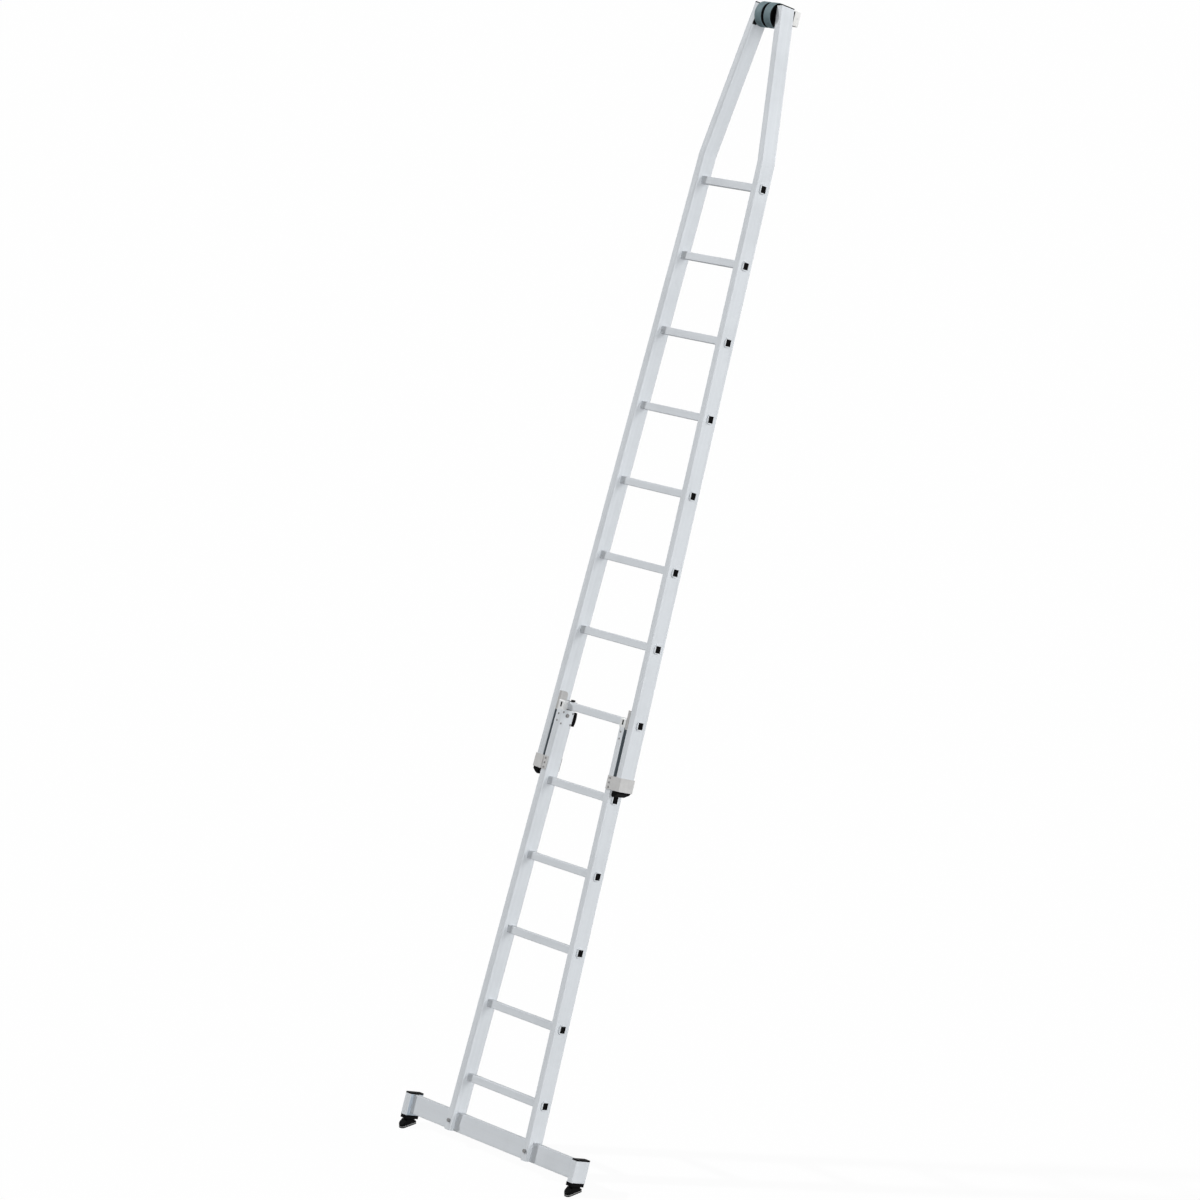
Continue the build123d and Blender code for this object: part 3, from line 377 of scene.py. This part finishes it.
def drawn_metal_group():
    """Lines and streaks that an extrusion keeps along its length, also round the bend."""
    tree, given, out = new_group(
        "drawn_metal",
        [("NodeSocketVector", "Stretch", (1, 1, 1)), ("NodeSocketFloat", "Taper", 0.0),
         ("NodeSocketFloat", "Tip slope", 0.0), ("NodeSocketFloat", "Bend height", 0.0)],
        ["Lines", "Streaks", "Smudges"])
    across, depth, along = leaned_parts(tree)
    # Distance from the middle, as if the stiles ran straight up
    beyond = calc(tree, "MAXIMUM", calc(tree, "SUBTRACT", along, given["Bend height"]), 0.0)
    straight = calc(tree, "MULTIPLY_ADD", along, given["Taper"], calc(tree, "ABSOLUTE", across))
    straight = calc(tree, "MULTIPLY_ADD", beyond, given["Tip slope"], straight)
    joined = tree.nodes.new("ShaderNodeCombineXYZ")
    for socket, value in zip(joined.inputs, (straight, depth, along)):
        tree.links.new(value, socket)
    stretched = tree.nodes.new("ShaderNodeVectorMath")
    stretched.operation = "MULTIPLY"
    tree.links.new(joined.outputs[0], stretched.inputs[0])
    tree.links.new(given["Stretch"], stretched.inputs[1])
    fine = noise(tree, stretched.outputs[0], scale=1.0, detail=2.0)
    wide = noise(tree, stretched.outputs[0], scale=0.12, detail=3.0)
    smudge = noise(tree, leaned_coordinates(tree), scale=5.0, detail=5.0, roughness=0.6)
    tree.links.new(spread(tree, fine, low=0.3, high=0.7), out["Lines"])
    tree.links.new(spread(tree, wide, low=0.35, high=0.7), out["Streaks"])
    tree.links.new(spread(tree, smudge, low=0.48, high=0.68), out["Smudges"])
    return tree


def moulded_skin_group():
    """Fine grain of a moulded or cast skin, and the patches of its bloom."""
    tree, given, out = new_group(
        "moulded_skin",
        [("NodeSocketFloat", "Grain scale", 900.0), ("NodeSocketFloat", "Bloom scale", 30.0)],
        ["Grain", "Bloom"])
    place = leaned_coordinates(tree)
    grain = noise(tree, place, scale=given["Grain scale"], detail=3.0, roughness=0.6)
    bloom = noise(tree, place, scale=given["Bloom scale"], detail=4.0, roughness=0.55)
    tree.links.new(grain, out["Grain"])
    tree.links.new(spread(tree, bloom, low=0.35, high=0.75), out["Bloom"])
    return tree


def group_node(tree, name, maker, **values):
    """A shared group in a material, built the first time it is asked for."""
    node = tree.nodes.new("ShaderNodeGroup")
    node.node_tree = bpy.data.node_groups.get(name) or maker()
    for label, value in values.items():
        node.inputs[label.replace("_", " ").capitalize()].default_value = value
    return node.outputs


def new_material(name, *, metallic, specular):
    """Material with one shader, and its node tree."""
    material = bpy.data.materials.new(name)
    material.use_nodes = True
    shader = material.node_tree.nodes["Principled BSDF"]
    shader.inputs["Metallic"].default_value = metallic
    shader.inputs["Specular IOR Level"].default_value = specular
    return material, material.node_tree, shader.inputs


def bump(tree, sockets, height, *, strength, distance):
    """Bump from a height that feeds the shader's normal."""
    node = tree.nodes.new("ShaderNodeBump")
    node.inputs["Strength"].default_value = strength
    node.inputs["Distance"].default_value = distance
    tree.links.new(height, node.inputs["Height"])
    tree.links.new(node.outputs["Normal"], sockets["Normal"])


def leaned_middle(name):
    """Place of a node's middle across and along the ladder."""
    low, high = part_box(name)
    middle = (low + high) / 2
    return middle.x, middle.y * math.sin(LEAN) + middle.z * math.cos(LEAN)


def painted_gap_shade(tree, settings):
    """Mask and tone of painted shade on the faces in the gap between the sections, from bracket to spacer.
    """
    across, _, along = leaned_parts(tree)
    spacer_across, spacer_along = leaned_middle("stile_spacer_right")
    _, bracket_along = leaned_middle("guide_bracket_right")
    start = spread(tree, along, bracket_along - MARK_END, bracket_along + MARK_END)
    end = fade_out(tree, along, spacer_along - MARK_END, spacer_along + MARK_END)
    length = calc(tree, "MULTIPLY", start, end)
    straight = calc(tree, "MULTIPLY_ADD", along, math.tan(TAPER), calc(tree, "ABSOLUTE", across))
    middle = spacer_across + spacer_along * math.tan(TAPER)
    off = calc(tree, "ABSOLUTE", calc(tree, "SUBTRACT", straight, middle))
    edge = settings.section_gap / 2 + MARK_DEPTH
    inside = fade_out(tree, off, edge, edge + MARK_FADE)
    return calc(tree, "MULTIPLY", inside, length), settings.gap_shade


def painted_tube_shadow(tree, settings):
    """Mask and tone of painted shadow on the inner faces of the end tubes, beside the foot bar."""
    across = leaned_parts(tree)[0]
    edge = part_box("end_tube_right")[0].x + MARK_DEPTH
    inside = fade_out(tree, calc(tree, "ABSOLUTE", across), edge, edge + MARK_FADE)
    return inside, settings.tube_shadow


def profile_aluminium(name, settings, painted_shade=None, **direction):
    """Dull drawn aluminium, its lines along the profile, and painted shade of another tone where a mask is
    given.
    """
    material, tree, sockets = new_material(name, metallic=settings.profile_metallic, specular=0.3)
    drawn = group_node(tree, "drawn_metal", drawn_metal_group, **direction)
    streaks = calc(tree, "MULTIPLY", drawn["Streaks"], settings.streaks)
    worn = calc(tree, "MULTIPLY_ADD", drawn["Smudges"], settings.smudges, streaks)
    colour = mix_colour(tree, worn, settings.profile_light, settings.profile_dark)
    # The mask lays painted shade over the clean colour
    if painted_shade:
        mask, tone = painted_shade(tree, settings)
        streaked = mix_colour(tree, drawn["Streaks"], tone, scaled(tone, MARK_STREAK))
        colour = mix_colour(tree, mask, colour, streaked)
    tree.links.new(colour, sockets["Base Color"])
    rough = between(tree, worn, settings.profile_rough, settings.worn_rough)
    tree.links.new(rough, sockets["Roughness"])
    bump(tree, sockets, drawn["Lines"], strength=0.12, distance=LINE_DEPTH)
    return material


def skin_finish(name, *, metallic=0.0, specular, rough, grain_scale, bloom_scale, strength):
    """Moulded, cast or coated skin that still needs its colour, and the bloom on it."""
    material, tree, sockets = new_material(name, metallic=metallic, specular=specular)
    skin = group_node(
        tree, "moulded_skin", moulded_skin_group, grain_scale=grain_scale, bloom_scale=bloom_scale)
    dulled = between(tree, skin["Bloom"], rough, rough + BLOOM_ROUGH)
    tree.links.new(dulled, sockets["Roughness"])
    bump(tree, sockets, skin["Grain"], strength=strength, distance=GRAIN_DEPTH)
    return material, tree, sockets, skin["Bloom"]


def skin_material(name, colour, bloom_colour, **finish):
    """Skin with patches of another tone where it has a bloom."""
    material, tree, sockets, bloom = skin_finish(name, **finish)
    tree.links.new(mix_colour(tree, bloom, colour, bloom_colour), sockets["Base Color"])
    return material


def dress(names, material):
    """Give CAD nodes a finish."""
    for name in names:
        frame["nodes"][name].material_slots[0].material = material


def start_piece():
    """Nothing selected and object mode, before a new piece is begun."""
    if bpy.context.object and bpy.context.object.mode != "OBJECT":
        bpy.ops.object.mode_set(mode="OBJECT")
    bpy.ops.object.select_all(action="DESELECT")


def pick_faces(piece, test):
    """Select the faces of a piece in edit mode that pass a test."""
    mesh = bmesh.from_edit_mesh(piece.data)
    mesh.normal_update()
    bpy.ops.mesh.select_mode(type="FACE")
    bpy.ops.mesh.select_all(action="DESELECT")
    for face in mesh.faces:
        face.select_set(test(face))
    mesh.select_flush_mode()
    bmesh.update_edit_mesh(piece.data)


def pick_upright_edges(piece, test):
    """Select the upright edges of a piece in edit mode that pass a test."""
    mesh = bmesh.from_edit_mesh(piece.data)
    bpy.ops.mesh.select_mode(type="EDGE")
    bpy.ops.mesh.select_all(action="DESELECT")
    for edge in mesh.edges:
        ends = [vertex.co for vertex in edge.verts]
        upright = (ends[0] - ends[1]).to_2d().length < TINY
        edge.select_set(upright and test(edge))
    mesh.select_flush_mode()
    bmesh.update_edit_mesh(piece.data)


def lean_piece(centre):
    """Turn the selected mesh back with the ladder, in edit mode."""
    bpy.ops.transform.rotate(value=LEAN, orient_axis="X", center_override=centre)


def finish_piece(piece, name, body, material):
    """Place the mesh, name the piece and join it to its body."""
    bpy.ops.object.mode_set(mode="OBJECT")
    bpy.ops.object.transform_apply(location=True, rotation=True, scale=True)
    piece.name = name
    piece.data.name = name
    piece.data.materials.clear()
    piece.data.materials.append(material)
    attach(piece, body)


class LADDER_OT_profiles(bpy.types.Operator):
    """Drawn aluminium on the stiles, rungs, foot bar and end tubes, with painted shade in the gap between
    the sections and on the inner faces of the end tubes
    """
    bl_idname = "ladder.profiles"
    bl_label = "Aluminium profiles"

    def execute(self, context):
        settings = context.scene.ladder_metal
        upright_lines = (LINES_ACROSS, LINES_ACROSS, LINES_ALONG)
        # The stiles get painted shade in the gap between the sections
        upright = profile_aluminium(
            "aluminium_upright", settings, painted_gap_shade, stretch=upright_lines, taper=math.tan(TAPER),
            tip_slope=math.tan(TIP_TAPER) - math.tan(TAPER), bend_height=BEND_HEIGHT)
        # The end tubes get a painted shadow on their inner faces
        tube = profile_aluminium("aluminium_tube", settings, painted_tube_shadow, stretch=upright_lines)
        level = profile_aluminium(
            "aluminium_level", settings, stretch=(LINES_ALONG, LINES_ACROSS, LINES_ACROSS))
        dress(pair("lower_stile") + pair("upper_stile"), upright)
        dress(pair("end_tube"), tube)
        dress(LOWER_RUNGS + UPPER_RUNGS + ["traverse"], level)
        return {"FINISHED"}


class LADDER_OT_castings(bpy.types.Operator):
    """Cast forks, guide brackets and spacers at the joint of the sections"""
    bl_idname = "ladder.castings"
    bl_label = "Castings and brackets"

    def execute(self, context):
        settings = context.scene.ladder_metal
        casting = skin_material(
            "cast_aluminium", settings.casting, scaled(settings.casting, 0.85), metallic=0.35,
            specular=0.4, rough=0.48, grain_scale=1400, bloom_scale=40, strength=0.25)
        bracket = skin_material(
            "bracket_grey", settings.bracket, scaled(settings.bracket, 0.9), metallic=0.1,
            specular=0.35, rough=0.5, grain_scale=1100, bloom_scale=45, strength=0.2)
        spacer = skin_material(
            "spacer_grey", scaled(settings.bracket, 0.8), scaled(settings.bracket, 0.7), metallic=0.1,
            specular=0.35, rough=0.5, grain_scale=1100, bloom_scale=45, strength=0.2)
        dress(pair("top_fork"), casting)
        dress(pair("guide_bracket"), bracket)
        dress(pair("stile_spacer"), spacer)
        return {"FINISHED"}


class LADDER_OT_fixings(bpy.types.Operator):
    """Zinc-plated bolts, nuts, rivets, pins and axle, darkened with painted shade, and the bright screws of
    the wall pad
    """
    bl_idname = "ladder.fixings"
    bl_label = "Fixings"

    def execute(self, context):
        settings = context.scene.ladder_metal
        # Painted shade: the zinc tone is darkened to stand in for the shadows round the rivets
        zinc_and_shade = skin_material(
            "zinc_steel_with_painted_shade", settings.fixing_and_shade, scaled(settings.fixing_and_shade, 0.7), metallic=0.7,
            specular=0.5, rough=0.35, grain_scale=2500, bloom_scale=150, strength=0.15)
        pale = skin_material(
            "bright_steel", settings.casting, scaled(settings.casting, 0.9), metallic=0.3,
            specular=0.5, rough=0.4, grain_scale=2500, bloom_scale=150, strength=0.15)
        dress(["traverse_bolts", "traverse_nuts", "fork_rivets", "latch_bolts", "latch_nuts",
               "bracket_rivets", "foot_pivot_pins", "wheel_axle", "axle_spacer"], zinc_and_shade)
        dress(["pad_screws"], pale)
        return {"FINISHED"}


class LADDER_OT_mouldings(bpy.types.Operator):
    """Black plastic of the caps, feet, latches, liners and hubs"""
    bl_idname = "ladder.mouldings"
    bl_label = "Black mouldings"

    def execute(self, context):
        settings = context.scene.ladder_plastic
        plastic = skin_material(
            "moulded_black", settings.black, settings.bloom, specular=0.025, rough=0.5,
            grain_scale=900, bloom_scale=30, strength=0.25)
        dress(["end_tube_caps", "glide_strips", "wall_pad_carrier"], plastic)
        for name in ("foot_socket", "foot", "seat_liner", "latch", "stile_end_foot", "tip_cap", "wheel_hub"):
            dress(pair(name), plastic)
        return {"FINISHED"}


class LADDER_OT_rubbers(bpy.types.Operator):
    """Rubber soles and the slate tread of the tip wheels"""
    bl_idname = "ladder.rubbers"
    bl_label = "Soles and treads"

    def execute(self, context):
        settings = context.scene.ladder_plastic
        sole = skin_material(
            "sole_rubber", settings.rubber_and_highlight, scaled(settings.rubber_and_highlight, 1.8), specular=0.12, rough=0.7,
            grain_scale=700, bloom_scale=60, strength=0.4)
        dress(pair("foot_pad"), sole)
        dress(pair("wheel_tyre"), self.tyre_rubber(settings))
        return {"FINISHED"}

    def tyre_rubber(self, settings):
        """Slate tread that turns black on the sides of the tyre."""
        low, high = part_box("wheel_tyre_left")
        axle = (low + high) / 2
        radius = (high.z - low.z) / 2
        material, tree, sockets, bloom = skin_finish(
            "slate_tread", specular=0.3, rough=0.65, grain_scale=800, bloom_scale=50, strength=0.4)
        slate = mix_colour(tree, bloom, settings.tread, scaled(settings.tread, 0.8))
        split = tree.nodes.new("ShaderNodeSeparateXYZ")
        tree.links.new(tree.nodes.new("ShaderNodeTexCoord").outputs["Object"], split.inputs[0])
        offsets = [calc(tree, "SUBTRACT", split.outputs[axis], axle[axis]) for axis in (1, 2)]
        squares = [calc(tree, "MULTIPLY", offset, offset) for offset in offsets]
        distance = calc(tree, "SQRT", calc(tree, "ADD", *squares))
        edge = radius - TREAD_DEPTH
        tread = spread(tree, distance, edge - TREAD_FADE, edge)
        tree.links.new(mix_colour(tree, tread, settings.bloom, slate), sockets["Base Color"])
        return material


class LADDER_OT_sole_bands(bpy.types.Operator):
    """Pale band in the groove around each sole, a painted highlight that stands in for the light on the
    sole's edges
    """
    bl_idname = "ladder.sole_bands"
    bl_label = "Sole bands"

    def execute(self, context):
        sizes = context.scene.ladder_sizes
        colour = context.scene.ladder_plastic.band
        # The pale tone is a painted highlight for the edges of the sole
        rubber_and_highlight = skin_material(
            "painted_highlight_band", colour, scaled(colour, 0.8), specular=0.3, rough=0.6,
            grain_scale=900, bloom_scale=80, strength=0.3)
        for side in SIDES:
            self.make_band(sizes, side, rubber_and_highlight)
        return {"FINISHED"}

    def make_band(self, sizes, side, rubber_and_highlight):
        """Ring with the outline of the sole, in the groove of its rim, coloured as a painted highlight."""
        low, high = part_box(f"foot_pad_{side}")
        middle = (low + high) / 2
        size = high - low
        place = (middle.x, middle.y, sizes.band_foot + sizes.band_height / 2)
        start_piece()
        bpy.ops.mesh.primitive_cube_add(size=1.0, location=place)
        band = bpy.context.object
        bpy.ops.object.mode_set(mode="EDIT")
        bpy.ops.transform.resize(value=(size.x, size.y, sizes.band_height), center_override=place)
        for way, rounding in ((-1, sizes.sole_front_round), (1, sizes.sole_rear_round)):
            pick_upright_edges(band, lambda edge: way * edge.verts[0].co.y > 0)
            bpy.ops.mesh.bevel(offset=rounding, segments=8, affect="EDGES")
        pick_faces(band, lambda face: abs(face.normal.z) > FACING)
        bpy.ops.mesh.delete(type="FACE")
        bpy.ops.object.mode_set(mode="OBJECT")
        wall = band.modifiers.new("wall", "SOLIDIFY")
        wall.thickness = sizes.band_wall
        wall.offset = -1.0
        bpy.ops.object.modifier_apply(modifier="wall")
        edge = band.modifiers.new("edge", "BEVEL")
        edge.width = sizes.band_round
        edge.segments = 2
        bpy.ops.object.modifier_apply(modifier="edge")
        bpy.ops.object.shade_smooth_by_angle(angle=SMOOTH_ANGLE)
        finish_piece(band, f"sole_band_{side}", f"foot_{side}", rubber_and_highlight)


class LADDER_OT_rung_plugs(bpy.types.Operator):
    """Dished plugs in the open ends of the rungs"""
    bl_idname = "ladder.rung_plugs"
    bl_label = "Rung plugs"

    def execute(self, context):
        sizes = context.scene.ladder_sizes
        plastic = bpy.data.materials["moulded_black"]
        for section, rungs in (("lower", LOWER_RUNGS), ("upper", UPPER_RUNGS)):
            self.make_row(sizes, section, rungs, plastic)
        return {"FINISHED"}

    def make_row(self, sizes, section, rungs, plastic):
        """All plugs of one section as one piece."""
        ends = [(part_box(name), way) for name in rungs for way in (-1, 1)]
        first = self.make_plug(sizes)
        plugs = [first]
        for _ in ends[1:]:
            bpy.ops.object.duplicate(linked=False)
            plugs.append(bpy.context.object)
        for plug, ((low, high), way) in zip(plugs, ends):
            middle = (low + high) / 2
            plug.location = (way * (high.x - sizes.plug_sink), middle.y, middle.z)
            plug.rotation_euler = (-LEAN, 0, 0) if way > 0 else (LEAN, 0, math.pi)
        for plug in plugs:
            plug.select_set(True)
        bpy.context.view_layer.objects.active = first
        bpy.ops.object.join()
        finish_piece(first, f"{section}_plug_faces", f"{section}_section", plastic)
        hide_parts(f"{section}_rung_plugs")

    def make_plug(self, sizes):
        """One plug whose outer face is on x = 0: a raised rim around a dished middle."""
        start_piece()
        bpy.ops.mesh.primitive_cube_add(size=1.0)
        plug = bpy.context.object
        bpy.ops.object.mode_set(mode="EDIT")
        bpy.ops.transform.resize(value=(sizes.plug_length, sizes.plug_size, sizes.plug_size))
        bpy.ops.transform.translate(value=(-sizes.plug_length / 2, 0, 0))
        pick_faces(plug, lambda face: face.normal.x > FACING)
        bpy.ops.mesh.inset(thickness=sizes.plug_rim, depth=0)
        bpy.ops.mesh.inset(thickness=sizes.plug_step, depth=-sizes.plug_dish)
        bpy.ops.mesh.inset(thickness=sizes.plug_crown, depth=sizes.plug_rise)
        bpy.ops.object.mode_set(mode="OBJECT")
        rounding = plug.modifiers.new("rounding", "BEVEL")
        rounding.width = sizes.plug_round
        rounding.segments = 2
        bpy.ops.object.modifier_apply(modifier="rounding")
        bpy.ops.object.shade_smooth_by_angle(angle=SMOOTH_ANGLE)
        return plug


class LADDER_OT_wall_pad(bpy.types.Operator):
    """Soft block behind the tip, that rests against the wall"""
    bl_idname = "ladder.wall_pad"
    bl_label = "Wall pad"

    def execute(self, context):
        sizes = context.scene.ladder_sizes
        colour = context.scene.ladder_plastic.foam
        foam = skin_material(
            "wall_pad_foam", colour, scaled(colour, 0.94), specular=0.25, rough=0.75,
            grain_scale=500, bloom_scale=40, strength=0.35)
        low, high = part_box("wall_pad")
        centre = (low + high) / 2
        start_piece()
        bpy.ops.mesh.primitive_cube_add(size=1.0, location=centre)
        pad = bpy.context.object
        bpy.ops.object.mode_set(mode="EDIT")
        width = high.x - low.x
        bpy.ops.transform.resize(value=(width, sizes.pad_depth, sizes.pad_height), center_override=centre)
        bpy.ops.mesh.bevel(offset=sizes.pad_round, segments=3, affect="EDGES")
        pick_faces(pad, lambda face: max(face.normal.y, abs(face.normal.z)) > FACING)
        bpy.ops.mesh.inset(thickness=sizes.pad_round, depth=sizes.pad_crown, use_individual=True)
        bpy.ops.mesh.select_all(action="SELECT")
        lean_piece(centre)
        bpy.ops.object.mode_set(mode="OBJECT")
        soften = pad.modifiers.new("soften", "SUBSURF")
        soften.levels = soften.render_levels = 2
        bpy.ops.object.modifier_apply(modifier="soften")
        bpy.ops.object.shade_smooth()
        finish_piece(pad, "wall_pad_block", "upper_section", foam)
        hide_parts("wall_pad")
        return {"FINISHED"}


def seen_directly(tree):
    """1 for rays from the camera, mirrors and glass, 0 for the light that falls on things."""
    path = tree.nodes.new("ShaderNodeLightPath").outputs
    mirror = calc(tree, "MAXIMUM", path["Is Glossy Ray"], path["Is Transmission Ray"])
    return calc(tree, "MAXIMUM", path["Is Camera Ray"], mirror)


class LADDER_OT_stage(bpy.types.Operator):
    """Pale floor, soft lamps, white surroundings and the camera"""
    bl_idname = "ladder.stage"
    bl_label = "Stage"

    def execute(self, context):
        settings = context.scene.ladder_stage
        self.add_floor(settings)
        self.add_surroundings(context.scene, settings)
        self.add_lamp("key_lamp", settings.key, settings.key_from, settings.key_angle)
        side = self.add_lamp("side_lamp", settings.side, settings.side_from, settings.side_angle)
        side.use_shadow = False
        self.add_lamp("rear_lamp", settings.rear, settings.rear_from, settings.rear_angle)
        self.add_camera(context.scene, settings)
        context.scene.view_settings.view_transform = "Standard"
        return {"FINISHED"}

    def add_floor(self, settings):
        """Floor that looks white, takes the shadow and throws little light back."""
        start_piece()
        bpy.ops.mesh.primitive_plane_add(size=settings.floor_size)
        floor = bpy.context.object
        floor.name = "studio_floor"
        material = bpy.data.materials.new("studio_floor")
        material.use_nodes = True
        tree = material.node_tree
        tree.nodes.clear()
        matt = tree.nodes.new("ShaderNodeBsdfDiffuse")
        seen = seen_directly(tree)
        tree.links.new(mix_colour(tree, seen, settings.floor_tone, (1, 1, 1)), matt.inputs["Color"])
        white = tree.nodes.new("ShaderNodeEmission")
        both = tree.nodes.new("ShaderNodeMixShader")
        share = calc(tree, "MULTIPLY", seen, settings.floor_white)
        for socket, value in zip(both.inputs, (share, matt.outputs[0], white.outputs[0])):
            tree.links.new(value, socket)
        tree.links.new(both.outputs[0], tree.nodes.new("ShaderNodeOutputMaterial").inputs["Surface"])
        floor.data.materials.append(material)

    def add_surroundings(self, scene, settings):
        """Surroundings that look white and light the ladder faintly."""
        scene.world = bpy.data.worlds.new("white_surroundings")
        scene.world.use_nodes = True
        tree = scene.world.node_tree
        sky = tree.nodes["Background"]
        sky.inputs["Color"].default_value = (1, 1, 1, 1)
        strength = between(tree, seen_directly(tree), settings.ambient, 1.0)
        tree.links.new(strength, sky.inputs["Strength"])

    def add_lamp(self, name, strength, direction, angle):
        """Distant lamp that shines from a direction, and its settings."""
        bpy.ops.object.light_add(type="SUN")
        lamp = bpy.context.object
        lamp.name = name
        lamp.data.energy = strength
        lamp.data.angle = angle
        lamp.rotation_euler = Vector(direction).to_track_quat("Z", "Y").to_euler()
        return lamp.data

    def add_camera(self, scene, settings):
        """Camera at the front right, that looks down on the ladder a little."""
        data = bpy.data.cameras.new("camera")
        camera = bpy.data.objects.new("camera", data)
        scene.collection.objects.link(camera)
        data.sensor_fit = "HORIZONTAL"
        data.sensor_width = SENSOR_WIDTH
        data.lens = settings.lens
        data.clip_end = VIEW_DEPTH
        camera.location = settings.camera_place
        camera.rotation_euler = (math.pi / 2 - settings.camera_pitch, 0, settings.camera_turn)
        scene.camera = camera


class LADDER_PT_panel(bpy.types.Panel):
    """Settings, and a button for each group of pieces"""
    bl_idname = "LADDER_PT_panel"
    bl_label = "Window cleaning ladder"
    bl_space_type = "VIEW_3D"
    bl_region_type = "UI"
    bl_category = "Ladder"

    def draw(self, context):
        for name, group in SETTINGS.items():
            self.layout.label(text=group.__doc__)
            for setting in group.__annotations__:
                self.layout.prop(getattr(context.scene, name), setting)
        for operator in OPERATORS:
            self.layout.operator(operator.bl_idname)


SETTINGS = {
    "ladder_metal": LadderMetal,
    "ladder_plastic": LadderPlastic,
    "ladder_sizes": LadderSizes,
    "ladder_stage": LadderStage,
}
OPERATORS = (
    LADDER_OT_profiles,
    LADDER_OT_castings,
    LADDER_OT_fixings,
    LADDER_OT_mouldings,
    LADDER_OT_rubbers,
    LADDER_OT_sole_bands,
    LADDER_OT_rung_plugs,
    LADDER_OT_wall_pad,
    LADDER_OT_stage,
)


def register():
    for cls in (*SETTINGS.values(), *OPERATORS, LADDER_PT_panel):
        bpy.utils.register_class(cls)
    for name, cls in SETTINGS.items():
        setattr(bpy.types.Scene, name, PointerProperty(type=cls))


def unregister():
    for name in SETTINGS:
        delattr(bpy.types.Scene, name)
    for cls in (LADDER_PT_panel, *reversed(OPERATORS), *SETTINGS.values()):
        bpy.utils.unregister_class(cls)


def main():
    register()
    bpy.ops.ladder.profiles()
    bpy.ops.ladder.castings()
    bpy.ops.ladder.fixings()
    bpy.ops.ladder.mouldings()
    bpy.ops.ladder.rubbers()
    bpy.ops.ladder.sole_bands()
    bpy.ops.ladder.rung_plugs()
    bpy.ops.ladder.wall_pad()
    bpy.ops.ladder.stage()


if __name__ == "__main__":
    main()
